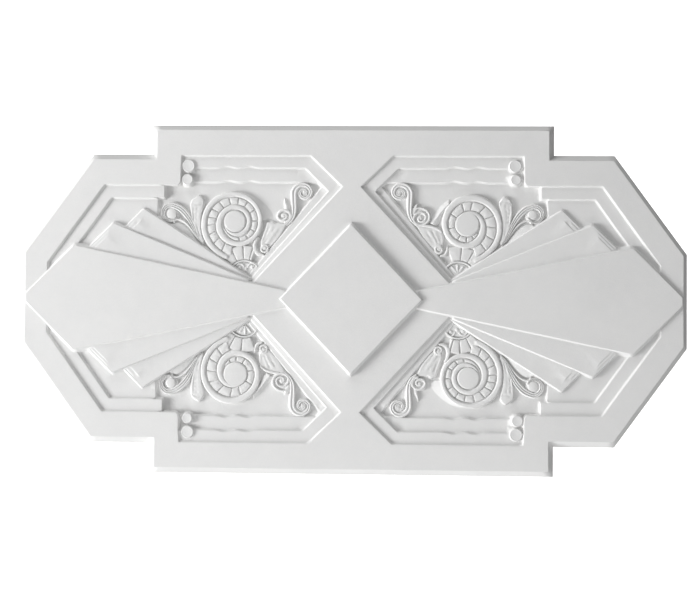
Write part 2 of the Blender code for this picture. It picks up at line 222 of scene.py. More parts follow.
def inside_depth(points: Points, outline: Points, sharp: bool = False) -> Points:
    """Gives the distance of points to the nearest side of an outline, negative outside.

    Args:
        points: one point a row.
        outline: the corners in order.
        sharp: whether the distance keeps its corners sharp.

    Returns:
        The distance to the nearest side, with its sign from the count of sides that a line
        from the point crosses. Beside a sharp corner it is the greater of the distances to
        the two side lines in size.
    """
    best = np.full(len(points), np.inf)
    inside = np.zeros(len(points), bool)
    for a, b in zip(outline, np.roll(outline, -1, 0)):
        side = b - a
        share = np.clip(((points - a) @ side) / (side @ side), 0.0, 1.0)
        gap = points - (a + share[:, None] * side)
        best = np.minimum(best, (gap * gap).sum(1))
        crosses = (a[1] > points[:, 1]) != (b[1] > points[:, 1])
        reach = a[0] + (points[:, 1] - a[1]) / (side[1] if side[1] else np.inf) * side[0]
        inside ^= crosses & (points[:, 0] < reach)
    depth = np.where(inside, 1.0, -1.0) * np.sqrt(best)
    if sharp:
        normal, turn = side_normals(outline)
        for corner, before, after in zip(outline, np.roll(normal, 1, 0), normal):
            gap = points - corner
            here = np.abs((gap * gap).sum(1) - best) < SAME_SQUARE
            if (before[0] * after[1] - before[1] * after[0]) * turn < 0:
                here &= inside
                depth[here] = np.maximum(gap[here] @ before, gap[here] @ after)
            else:
                here &= ~inside
                depth[here] = np.minimum(gap[here] @ before, gap[here] @ after)
    return depth


def mitred_depth(points: Points, outline: Points) -> Points:
    """Gives the least distance inside the side lines of a convex outline: corners stay sharp."""
    normal, _ = side_normals(outline)
    return np.min(points @ normal.T - (outline * normal).sum(1), axis=1)


def offset_outline(outline: Points, distance: float) -> Points:
    """Moves every side of a closed outline, with mitred corners.

    Args:
        outline: the corners in order.
        distance: how far each side moves outwards.

    Returns:
        Each corner, less the sum s of its two sides' inward normals times 2 distance / s s. The
        square is held over a least value, which cuts the longest mitres short.
    """
    normal, _ = side_normals(outline)
    inwards = np.roll(normal, 1, 0) + normal
    reach = 2.0 * distance / np.maximum((inwards * inwards).sum(1), LEAST_MITRE)
    return outline - inwards * reach[:, None]


def travelled(path: Points) -> Points:
    """Gives the distance along a path at each of its points."""
    return np.concatenate([[0.0], np.cumsum(np.linalg.norm(np.diff(path, axis=0), axis=1))])


def points_at(path: Points, at: Points) -> Points:
    """Gives the points of a path at distances along it."""
    return np.stack([np.interp(at, travelled(path), path[:, i]) for i in (0, 1)], 1)


def along_path(points: Points, path: Points) -> tuple[Points, Points]:
    """Finds each point's place beside a path.

    Args:
        points: one point a row.
        path: the path's points in order.

    Returns:
        The distance to the path and the share of its length there.
    """
    lengths = np.linalg.norm(np.diff(path, axis=0), axis=1)
    starts = np.concatenate([[0.0], np.cumsum(lengths)[:-1]])
    best = np.full(len(points), np.inf)
    share = np.zeros(len(points))
    for a, b, length, start in zip(path[:-1], path[1:], lengths, starts):
        step = (b - a) / length
        run = np.clip((points - a) @ step, 0.0, length)
        gap = points - a - run[:, None] * step
        distance = (gap * gap).sum(1)
        nearer = distance < best
        best[nearer] = distance[nearer]
        share[nearer] = start + run[nearer]
    return np.sqrt(best), share / lengths.sum()


@dataclass
class Samples:
    """Points where the mesh follows the work, and the pairs of them that are edges."""

    points: Points
    edges: Points

    @staticmethod
    def from_grid(grid: Points, closed: bool, keep: Points) -> "Samples":
        """Takes the kept points of rows that run along an edge, and joins them along the rows.

        Args:
            grid: rows of points, as (row, place, 2).
            closed: whether each row ends where it starts.
            keep: which points are used, as (row, place).

        Returns:
            The kept points with an edge between each kept pair of neighbours.
        """
        number = np.full(keep.shape, -1)
        number[keep] = np.arange(keep.sum())
        follower = np.roll(number, -1, 1)
        if not closed:
            follower[:, -1] = -1
        pairs = np.stack([number.ravel(), follower.ravel()], 1)
        return Samples(grid[keep], pairs[(pairs >= 0).all(1)])


@dataclass
class Feature:
    """One sunk or raised part of the relief, drawn in a quarter of the panel."""

    def height(self, points: Points) -> Points:
        """Gives the feature's own height.

        Args:
            points: places in the quarter, one a row.

        Returns:
            A height for each place, far below the ground where the feature isn't.
        """
        raise NotImplementedError

    def rows(self) -> tuple[Points, bool]:
        """Gives the places where the mesh follows the feature.

        Returns:
            Rows of points, as (row, place, 2), and whether each row ends where it starts.
        """
        raise NotImplementedError


def rows_round(outline: Points, offsets: Iterable[float], step: float) -> Points:
    """Gives rows of points on outlines moved outwards by offsets, side by side.

    Args:
        outline: the corners of the closed outline.
        offsets: the distances outwards.
        step: the longest distance between points of a row.

    Returns:
        An array of (offset, place, 2). Each side is cut in the same equal pieces in every row.
    """
    after = np.roll(outline, -1, 0)
    cuts = np.maximum(np.ceil(np.linalg.norm(after - outline, axis=1) / step), 1).astype(int)
    rows = []
    for offset in offsets:
        moved = offset_outline(outline, offset)
        ends = np.roll(moved, -1, 0)
        rows.append(np.vstack([a + (b - a) * (np.arange(n) / n)[:, None]
                               for a, b, n in zip(moved, ends, cuts)]))
    return np.array(rows)


@dataclass
class Pocket(Feature):
    """A field sunk between two levels, with walls that lean outwards as they rise."""

    outline: Points
    edge: float
    floor: float
    sharp: bool = False
    moulding: tuple[Sequence[float], Sequence[float]] | None = None
    slope: float = 0.20
    level_at: float = 0.0050
    lean_down: float = 0.0011
    lean_up: float = 0.0010
    lean_ends: float = 0.0150
    lean_fade: float = 0.0040
    foot: float = SOFT.foot

    def height(self, points: Points) -> Points:
        """Gives the floor or wall, whichever is higher.

        The wall falls by the depth inside the outline over the splay. Along the moulding line
        the floor leans towards the middle of the field: by the slope times the distance from
        where it is level, within its limits, fading out over the breadth of one step.
        """
        depth = inside_depth(points, self.outline, self.sharp)
        floor = np.full(len(points), self.floor)
        if self.moulding is not None:
            start, end = (np.array(p) for p in self.moulding)
            along = (end - start) / np.linalg.norm(end - start)
            away = (points - start) @ np.array([-along[1], along[0]])
            lean = np.clip((self.level_at - away) * self.slope, -self.lean_down, self.lean_up)
            floor = floor + lean * smooth_step((self.lean_ends - away) / self.lean_fade)
        return smooth_max(floor, self.edge - depth / SOFT.splay, self.foot)

    def rows(self) -> tuple[Points, bool]:
        """Rows from just outside the edge down to just past the foot of the wall."""
        beyond = ROWS_PAST_FOOT * WALL_STEP
        run = (self.edge - self.floor) * SOFT.splay + beyond
        offsets = np.arange(beyond, -run, -POCKET_STEP)
        return rows_round(self.outline, offsets, ALONG_STEP), True


@dataclass
class Plate(Feature):
    """A raised plate with a flat or crowned face and walls that lean outwards as they fall."""

    outline: Points
    face: float
    sinks: float
    splay: float = SOFT.splay
    crown: float = 0.0
    round_corners: bool = False
    softness: float = SOFT.edge
    grooves: tuple[Points, ...] = ()
    groove_depth: float = 0.0007
    groove_width: float = 0.0009

    def height(self, points: Points) -> Points:
        """Gives the face or wall, whichever is lower, less the grooves.

        Outside the outline the wall falls by the distance over the splay. The face rises to
        its crown as a sine of the depth inside the outline. A groove is a bell curve of the
        distance to its line.
        """
        measure = inside_depth if self.round_corners else mitred_depth
        depth = measure(points, self.outline)
        reach = min(np.ptp(self.outline[:, 0]), np.ptp(self.outline[:, 1])) / 2.0
        swell = self.crown * np.sin(0.5 * np.pi * np.clip(depth / reach, 0.0, 1.0))
        cut = np.zeros(len(points))
        for groove in self.grooves:
            distance, _ = along_path(points, groove)
            cut = np.maximum(cut, self.groove_depth * np.exp(-(distance / self.groove_width) ** 2))
        return smooth_min(self.face + swell - cut, self.face + depth / self.splay, self.softness)

    def rows(self) -> tuple[Points, bool]:
        """Rows from just inside the face down the wall to the lowest level that it meets."""
        run = self.sinks * self.splay + ROWS_PAST_FOOT * WALL_STEP
        offsets = np.arange(-ROWS_ON_FACE * WALL_STEP, run, WALL_STEP)
        return rows_round(self.outline, offsets, ALONG_STEP), True


@dataclass
class Ribbon(Feature):
    """A carved stem along a path, with a rounded back and up to three ribs."""

    path: Points
    widths: Points
    top: float
    roundness: float = 0.36
    ribs: int = 1
    channel: float = 0.0012
    step: float = 0.0020
    rib_share: float = 0.34
    channel_share: float = 0.19
    full_half: float = 0.0016
    least_rise: float = 0.45

    def __post_init__(self) -> None:
        """Measures the path, so that a width can be found from a share of its length."""
        self.travel = travelled(self.path)
        self.shares = np.linspace(0.0, 1.0, len(self.widths))
        if len(self.widths) == len(self.path):
            self.shares = self.travel / self.travel[-1]

    def height(self, points: Points) -> Points:
        """Gives the stem's section where the point lies beside its path.

        The section is full up to a share of the half width, then falls as a quarter of a
        circle. A stem narrower than the full one stands lower. Two ribs part along the middle
        and three at a third of the half width, each by a channel that is a bell curve.
        """
        distance, share = along_path(points, self.path)
        half = np.maximum(np.interp(share, self.shares, self.widths) / 2.0, 1e-5)
        u = distance / half
        rise = np.clip(half / self.full_half, self.least_rise, 1.0)
        full = (self.top - LEVELS.ground) * rise
        fall = np.clip((u - (1.0 - self.roundness)) / self.roundness, 0.0, 1.0)
        section = np.sqrt(np.clip(1.0 - fall * fall, 0.0, 1.0))
        outside = np.clip(u - 1.0, 0.0, None) * half / SOFT.carved_splay
        middle = 0.0 if self.ribs == 2 else self.rib_share
        bell = np.exp(-((u - middle) / self.channel_share) ** 2)
        trough = self.channel * bell * (self.ribs > 1)
        return LEVELS.ground + full * section - trough - outside

    def rows(self) -> tuple[Points, bool]:
        """Rows along the path at shares of the half width on both sides."""
        count = max(int(self.travel[-1] / self.step), 3)
        at = np.linspace(0.0, self.travel[-1], count)
        line = points_at(self.path, at)
        ahead = np.gradient(line, axis=0)
        ahead /= np.linalg.norm(ahead, axis=1)[:, None]
        across = np.stack([-ahead[:, 1], ahead[:, 0]], 1)
        half = (np.interp(at / self.travel[-1], self.shares, self.widths) / 2.0)[:, None]
        offsets = [half * share for share in (RIBBED_SHARES if self.ribs > 1 else PLAIN_SHARES)]
        offsets += [half + beyond for beyond in BESIDE_STEM]
        rows = [line - across * offset for offset in offsets[:0:-1]]
        rows += [line + across * offset for offset in offsets]
        return np.array(rows), False


@dataclass
class Dome(Feature):
    """A round boss or button: steep at its edge and gently crowned."""

    centre: tuple[float, float]
    radius: float
    top: float
    crown: float = 0.0010
    splay: float = 0.35
    ring: float = 0.0
    ring_share: float = 0.80
    ring_breadth: float = 0.09

    def height(self, points: Points) -> Points:
        """Gives the face or wall, whichever is lower.

        The face rises to its crown as 1 - r r, and the wall falls by the distance over the
        splay. A ring is cut in the face as a bell curve round a share of the radius.
        """
        r = np.linalg.norm(points - np.array(self.centre), axis=1)
        u = np.clip(r / self.radius, 0.0, 1.0)
        groove = self.ring * np.exp(-((u - self.ring_share) / self.ring_breadth) ** 2)
        face = self.top + self.crown * (1.0 - u * u) - groove
        return smooth_min(face, self.top + (self.radius - r) / self.splay, SOFT.edge)

    def rows(self) -> tuple[Points, bool]:
        """Rings from the middle to just past the wall."""
        count = max(int(2 * np.pi * self.radius / RING_STEP), 10)
        turn = np.arange(count) * 360.0 / count
        radii = np.concatenate([self.radius * np.array(RING_SHARES),
                                self.radius + np.array(BESIDE_DOME)])
        return np.array([polar(self.centre, np.full(count, r), turn) for r in radii]), True


@dataclass
class Drape(Feature):
    """A surface that runs evenly from one line to another, each at a level of its own."""

    one: Points
    other: Points
    one_level: float
    other_level: float
    splay: float = 0.40
    overlap: float = 0.0

    def height(self, points: Points) -> Points:
        """Gives the level between the two lines, held down near the border.

        The share is the distance to the one line over the sum of both distances. The surface
        stays under the ground plus the depth inside the border over the splay. The border
        runs past the one line by a part of the way between the lines.
        """
        beyond = self.one + self.overlap * (self.one - self.other)
        depth = inside_depth(points, np.vstack([beyond, self.other[::-1]]))
        near, _ = along_path(points, self.one)
        far, _ = along_path(points, self.other)
        share = near / np.maximum(near + far, 1e-9)
        surface = self.one_level + (self.other_level - self.one_level) * share
        return smooth_min(surface, LEVELS.ground + depth / self.splay, SOFT.carved)

    def rows(self) -> tuple[Points, bool]:
        """Rows side by side from the one line to the other."""
        first, last = (points_at(line, np.linspace(0.0, travelled(line)[-1], DRAPE_PLACES))
                       for line in (self.one, self.other))
        return np.array([first * (1.0 - share) + last * share for share in DRAPE_SHARES]), False


def mm(*values: float) -> Points:
    """Gives lengths written in millimetres as metres."""
    return np.array(values) / 1000.0


def drawn(*corners: tuple[float, float]) -> Points:
    """Gives the points of a drawing in millimetres as metres, one a row."""
    return np.array(corners) / 1000.0


@dataclass(frozen=True)
class Coil:
    """A wound strip, given by the radii of its two edges at a row of wound angles."""

    centre: tuple[float, float]
    turns: tuple[float, ...]
    outer: tuple[float, ...]
    inner: tuple[float, ...]
    start: float = 0.0
    sense: float = 1.0
    blend: float = 12.0

    def edge(self, wound: Points, radii: tuple[float, ...]) -> Points:
        """Gives an edge's radius, rounded by the weighted mean of three places.

        Args:
            wound: the wound angles.
            radii: the edge's radii in millimetres, one for each of the coil's turns.

        Returns:
            A quarter of the radius a little before and after, and half of the one at the angle.
        """
        at = np.asarray(wound, float)
        return sum(np.interp(at + shift, self.turns, mm(*radii)) * weight
                   for shift, weight in ((-self.blend, 0.25), (0.0, 0.5), (self.blend, 0.25)))

    def strip(self, begin: float, end: float, step: float = 6.0) -> tuple[Points, Points]:
        """Draws the strip between its two edges.

        Args:
            begin: the wound angle where the strip begins.
            end: the wound angle where it ends.
            step: the angle between its points.

        Returns:
            The middle line and the width at each of its points.
        """
        wound = np.linspace(begin, end, max(int(abs(end - begin) / step), 4))
        outer, inner = self.edge(wound, self.outer), self.edge(wound, self.inner)
        middle = polar(self.centre, (outer + inner) / 2.0, self.start + self.sense * wound)
        return middle, outer - inner


def ribbon(knots: Points, widths: Points, top: float, steps: int = 6, **finish: float) -> Ribbon:
    """Makes a stem through knots.

    Args:
        knots: the points that its middle line passes.
        widths: its width at each knot.
        top: the level of its back.
        steps: the pieces between two knots.
        finish: further fields of the ribbon, such as its roundness.

    Returns:
        The stem, with its width worked out evenly between the knots.
    """
    path = through(knots, steps)
    at = np.interp(np.linspace(0.0, len(knots) - 1.0, len(path)), np.arange(len(knots)), widths)
    return Ribbon(path, at, top, **finish)


def wound_stem(knots: Points, widths: Points, coil: Coil, end: float, step: float,
               **finish: float) -> Ribbon:
    """Makes a stem that goes on as the strip of a coil.

    Args:
        knots: the points that the stem's middle line passes, the last where the coil begins.
        widths: the stem's width at each knot.
        coil: the coil that takes over.
        end: the wound angle where the strip ends.
        step: the wound angle between its points.
        finish: further fields of the ribbon, such as its ribs.

    Returns:
        One ribbon along both.
    """
    stem = ribbon(knots, widths, LEVELS.stem)
    wound, wound_widths = coil.strip(0.0, end, step)
    return Ribbon(np.vstack([stem.path[:-1], wound]),
                  np.concatenate([stem.widths[:-1], wound_widths]), LEVELS.stem, **finish)


@dataclass
class Rosette:
    """The wound rosette: a coiled rim, blocks in its channel and a smooth boss."""

    model: Carving
    tail: float = -76.0
    gap: float = 0.0030
    clearance: float = 0.0016
    fluting: float = 0.0005
    least_length: float = 0.0012
    line_inset: float = 0.0010
    long_block: float = 60.0

    def __post_init__(self) -> None:
        """Chooses the coil, the boss and the places where the blocks part."""
        if self.model is Carving.FIRST:
            self.coil = Coil((0.2100, 0.1390),
                             (-80, -60, -30, 0, 30, 60, 90, 120, 150, 180, 210, 240, 270, 300,
                              330, 360, 390, 420, 600, 630, 660, 690, 715),
                             (71.5, 68.5, 65, 61.8, 59.5, 56.5, 53.8, 51.8, 50.8, 50.4, 49.6,
                              47.6, 44.5, 41.8, 38.5, 34, 31.5, 30.3, 30.3, 27, 24, 21.5, 19.5),
                             (61.5, 57.5, 53.5, 50.5, 48, 46, 44, 43, 42.3, 41.5, 40.8, 39, 35,
                              29.5, 24.8, 22, 20.9, 20.6, 20.6, 20.0, 19.6, 19.2, 18.8))
            self.end = 712.0
            self.boss_radius = 0.0190
            self.parts = (-85, -66, -46, -27, -8, 9, 28, 50, 75, 99, 123, 150, 178, 206, 232,
                          256, 328)
        else:
            self.coil = Coil((0.2066, 0.1352),
                             (-80, -60, -30, 0, 30, 60, 90, 120, 150, 180, 210, 240, 270, 300,
                              330, 360, 390, 420, 450, 480),
                             (71, 68, 66, 63.3, 60.8, 57.2, 53.5, 49.8, 46.8, 45.2, 44.2, 43.4,
                              43.2, 41.5, 37.5, 33, 30.3, 26.8, 23.5, 21.3),
                             (61.5, 58, 55.5, 52.3, 48.8, 44.5, 41, 37.2, 34.8, 34, 33.6, 33,
                              32.4, 28.5, 24.4, 22.2, 21.4, 20.2, 19, 18.5))
            self.end = 476.0
            self.boss_radius = 0.0208
            self.parts = (-76, -54, -30, -6, 18, 45, 77, 104, 147, 193, 238, 268, 294, 322)

    def features(self) -> list[Feature]:
        """Gives the floor of the channel, the rim, the blocks and the boss."""
        turn = np.arange(self.tail, self.tail + 354.0, 12.0)
        middle = (self.coil.edge(turn, self.coil.outer) + self.coil.edge(turn, self.coil.inner)) / 2
        snail = polar(self.coil.centre, middle, turn)
        path, widths = self.coil.strip(self.tail, self.end)
        parts: list[Feature] = [Plate(snail, LEVELS.channel, 0.004, 0.35, round_corners=True),
                                Ribbon(path, widths, LEVELS.rim, 0.46),
                                Dome(self.coil.centre, self.boss_radius, LEVELS.boss, 0.0004)]
        return parts + [self.block(a, b) for a, b in zip(self.parts[:-1], self.parts[1:])]

    def block(self, start: float, end: float) -> Plate:
        """Gives one block of the channel, between two turns of the rim.

        Args:
            start: the wound angle where the block begins.
            end: the wound angle where it ends.

        Returns:
            The block, shorter than its angle by the joint, with two fine lines unless it is long.
        """
        around = math.radians(end - start) * self.coil.edge(0.5 * (start + end), self.coil.inner)
        trim = (end - start) * self.gap / around
        turn = np.linspace(start + trim / 2, end - trim / 2, 7)
        outer = self.coil.edge(turn, self.coil.inner) - self.clearance
        inner = np.maximum(self.coil.edge(turn + 360.0, self.coil.outer), self.boss_radius)
        inner = inner + self.clearance
        outer = np.maximum(outer, inner + self.least_length)
        outline = np.vstack([polar(self.coil.centre, outer, turn),
                             polar(self.coil.centre, inner[::-1], turn[::-1])])
        ends = np.stack([inner + self.line_inset, outer - self.line_inset])
        lines = tuple(polar(self.coil.centre, ends[:, i], turn[i])
                      for i in ((2, 4) if end - start < self.long_block else ()))
        return Plate(outline, LEVELS.block, 0.004, 0.26, 0.0010, True, 0.0008, lines,
                     self.fluting, 0.0006)


@dataclass
class Shell:
    """The fluted shell, its arch and the small palmette at the foot of the fan."""

    model: Carving
    centre: tuple[float, float] = (0.1920, 0.0400)
    inner: float = 0.0320
    outer: float = 0.0550
    arch_radius: float = 0.0285
    bed_radius: float = 0.0250

    def features(self) -> list[Feature]:
        """Gives the flutes, the bed under the arch, the arch and what it holds."""
        if self.model is Carving.FIRST:
            spans = ((111.0, 107.0), (104.0, 88.0), (84.5, 65.0), (62.0, 44.0))
        else:
            spans = ((110.0, 86.0), (82.5, 62.0), (59.0, 41.0))
        parts: list[Feature] = [Dome(self.centre, self.bed_radius, LEVELS.channel, 0.0, 0.5)]
        parts += [self.flute(first, last) for first, last in spans]
        sweep = np.linspace(38.0, 140.0, 18)
        arch = polar(self.centre, np.full(18, self.arch_radius), sweep)
        parts.append(Ribbon(arch, mm(3.4, 3.4), LEVELS.leaf, 0.6))
        return parts + (self.lobes() if self.model is Carving.FIRST else self.palmette())

    def flute(self, first: float, last: float) -> Plate:
        """Gives one flute of the shell.

        Args:
            first: the greater of its two angles.
            last: the smaller one.

        Returns:
            The flute, with two fine lines if it is broad.
        """
        turn = np.linspace(first, last, 7)
        outline = np.vstack([polar(self.centre, np.full(7, self.outer), turn),
                             polar(self.centre, np.full(7, self.inner), turn[::-1])])
        lines = tuple(polar(self.centre, mm(37.0, 51.0), np.full(2, turn[i]))
                      for i in ((2, 4) if first - last > 10.0 else ()))
        return Plate(outline, LEVELS.flute, 0.005, 0.35, 0.0008, True, 0.0008, lines,
                     0.0006, 0.0008)

    def lobes(self) -> list[Feature]:
        """Gives two rolled lobes with a drop in each and one between them."""
        left = drawn((170.5, 57.0), (172.0, 62.5), (178.0, 64.5), (184.0, 62.0), (186.5, 57.0))
        right = drawn((193.0, 57.5), (197.0, 62.5), (203.5, 62.5), (208.5, 57.0))
        drops = [Dome(tuple(mm(x, z)), 0.0026, LEVELS.flute - 0.0006, 0.0008, 0.6)
                 for x, z in ((178.5, 56.5), (189.5, 53.0), (200.5, 56.0))]
        return [ribbon(left, mm(3.0, 3.6, 3.6, 3.4, 2.5), LEVELS.flute, 5, roundness=0.7),
                ribbon(right, mm(3.0, 3.6, 3.6, 2.5), LEVELS.flute, 5, roundness=0.7)] + drops

    def palmette(self) -> list[Feature]:
        """Gives three broad leaves that spread from one foot."""
        leaves: list[Feature] = []
        for angle, length in ((128.0, 16.5), (92.0, 15.5), (54.0, 16.0)):
            leaf = polar((0.1905, 0.0465), mm(2.0, 0.55 * length, length), np.full(3, angle))
            leaves.append(ribbon(leaf, mm(3.0, 8.5, 4.0), LEVELS.flute, 4, roundness=0.9))
        return leaves


def eye(centre: tuple[float, float], bed: float, radius: float) -> list[Feature]:
    """Gives the shallow bed inside a volute and its round eye."""
    return [Dome(centre, bed, LEVELS.coil_floor, 0.0, 0.5),
            Dome(centre, radius, LEVELS.stem - 0.0009, 0.0009, 0.5)]


@dataclass
class InnerScrolls:
    """The scrollwork between the rosette and the centre of the panel."""

    model: Carving

    def features(self) -> list[Feature]:
        """Gives the stem with its volute, the second volute, the bud, the wing and the cup."""
        return self.tall_volute() + self.second_volute() + self.cup() + self.third_volute()

    def tall_volute(self) -> list[Feature]:
        """Gives the long stem that ends in the highest volute."""
        coil = Coil((0.0865, 0.1905), (0, 90, 180, 270, 360, 450, 540, 630),
                    (24.5, 19.6, 15.8, 10.9, 9.6, 8.9, 6.8, 4.0),
                    (11.8, 11.0, 8.9, 4.9, 4.4, 3.6, 1.8, 0.2))
        knots = drawn((117.0, 134.0), (109.5, 141.0), (105.0, 150.0), (103.5, 161.0),
                      (104.0, 175.0), (104.6, 190.5))
        return eye((0.0855, 0.1930), 0.0130, 0.0036) + [
            wound_stem(knots, mm(3.5, 6.5, 8.0, 9.6, 11.4, 12.4), coil, 620.0, 9.0,
                       roundness=0.40, ribs=2, channel=0.0014)]

    def second_volute(self) -> list[Feature]:
        """Gives the small volute beside the stem, with its bud and its wing to the rosette."""
        if self.model is Carving.FIRST:
            coil = Coil((0.1220, 0.1490), (0, 90, 180, 270, 360, 450, 540),
                        (13.6, 14.8, 12.7, 13.6, 8.2, 6.8, 5.6),
                        (8.4, 9.2, 7.9, 9.2, 3.2, 2.2, 0.4), -100.0, -1.0)
            bud = ribbon(drawn((115.5, 159.0), (117.5, 166.5), (119.8, 173.5), (121.3, 180.5)),
                         mm(8.0, 9.5, 5.0, 1.2), LEVELS.leaf - 0.0012, roundness=0.9)
            rim = drawn((207, 187), (197, 185.5), (186, 181), (176, 173.5), (168.5, 163.5),
                        (164, 151.5), (163, 141))
            foot = drawn((204, 193), (190, 191), (177, 186), (165, 178), (154, 168.5),
                         (145.5, 158), (141.5, 146))
            wing: list[Feature] = [Drape(rim, foot, LEVELS.rim - 0.0016, LEVELS.ground)]
            bed = eye((0.1236, 0.1500), 0.0105, 0.0034)
            end = 560.0
        else:
            coil = Coil((0.1240, 0.1460), (0, 90, 180, 270, 360, 450, 540, 630, 720),
                        (21.0, 18.6, 14.0, 15.8, 13.3, 11.6, 8.4, 7.2, 5.4),
                        (18.0, 14.0, 9.4, 11.0, 9.2, 7.4, 4.2, 3.0, 0.6), 115.0, -1.0)
            bud = ribbon(drawn((111.0, 155.0), (113.0, 162.0), (116.5, 170.0)),
                         mm(9.0, 12.0, 4.0), LEVELS.leaf - 0.0006, roundness=0.9)
            crest = drawn((143.5, 135.5), (151.5, 145.5), (159, 156), (166, 165.5), (176, 173))
            foot = drawn((136, 139.5), (145, 150.5), (153.5, 161.5), (162, 171.5), (175, 182))
            inner = drawn((151, 131.5), (157.5, 141), (162, 151), (168, 160), (178, 168))
            level = LEVELS.stem - 0.0012
            wing = [Drape(crest, foot, level, LEVELS.ground, overlap=0.5),
                    Drape(crest, inner, level, level - 0.0022, overlap=0.5)]
            bed = eye((0.1238, 0.1466), 0.0165, 0.0032)
            end = 730.0
        path, widths = coil.strip(0.0, end, 9.0)
        return bed + [Ribbon(path, widths, LEVELS.stem, 0.55), bud] + wing

    def cup(self) -> list[Feature]:
        """Gives the flaring cup that turns down into the third volute."""
        if self.model is Carving.FIRST:
            outline = drawn((118, 135), (122, 128), (127.5, 117), (134, 108), (141, 99.5),
                            (149, 92), (157, 91), (162.5, 95), (163, 103), (160, 112),
                            (157, 121), (153.8, 129), (152.2, 138), (147.5, 136),
                            (143.5, 140), (139, 134.8), (130, 135.5))
            lines = (through(drawn((139, 126), (147, 115), (153.5, 105), (158, 97)), 5),
                     through(drawn((129, 124), (137, 113), (145, 102), (151, 96)), 5),
                     through(drawn((148, 131), (153, 118), (158, 106)), 5))
            rim = None
        else:
            outline = drawn((112, 138), (118.5, 130.5), (124, 121), (129, 112), (136, 104),
                            (143, 97), (149, 91.5), (157, 91), (163, 95.5), (164.5, 105),
                            (164, 115), (161.5, 123), (154, 129.5), (142, 132), (130, 133))
            lines = (through(drawn((134, 123), (141, 112), (149, 100)), 5),
                     through(drawn((144, 124), (150, 113), (155, 101)), 5),
                     through(drawn((154, 122), (158, 112), (159.5, 102)), 5),
                     drawn((148.2, 118.5), (148.0, 112.5)), drawn((157.5, 112), (160, 103)))
            rim = ribbon(drawn((128, 133.5), (140, 132), (151, 128.5), (160.5, 122.5)),
                         mm(5.0, 5.5, 5.5, 4.0), LEVELS.stem, roundness=0.6)
        body = Plate(outline, LEVELS.leaf - 0.0016, 0.006, 0.45, 0.0016, True, 0.0008, lines,
                     0.0012, 0.0013)
        return [body] if rim is None else [body, rim]

    def third_volute(self) -> list[Feature]:
        """Gives the lowest volute and the crescent that holds it."""
        coil = Coil((0.1570, 0.0902), (0, 90, 180, 270, 360, 450),
                    (9.0, 8.9, 8.6, 8.2, 6.0, 4.4), (4.4, 4.6, 4.4, 4.0, 1.8, 0.2), 62.0, 1.0)
        path, widths = coil.strip(0.0, 450.0, 10.0)
        parts = eye((0.1575, 0.0905), 0.0066, 0.0026) + [Ribbon(path, widths, LEVELS.stem, 0.5)]
        if self.model is Carving.FIRST:
            parts.append(ribbon(drawn((159.0, 79.0), (167.0, 80.5), (172.5, 86.5), (174.5, 95.0),
                                      (172.5, 104.0), (168.0, 111.0)),
                                mm(4.0, 7.5, 8.5, 8.0, 6.0, 3.0), LEVELS.stem - 0.0004,
                                roundness=0.45))
        else:
            parts.append(ribbon(drawn((160.0, 79.0), (167.0, 81.0), (171.0, 87.0),
                                      (172.0, 95.0)), mm(4.0, 6.0, 5.0, 3.0), LEVELS.leaf,
                                roundness=0.6))
            parts.append(ribbon(drawn((178.0, 75.5), (177.6, 84.0), (176.6, 92.0)),
                                mm(2.5, 3.4, 2.5), LEVELS.flute, roundness=0.8))
        return parts


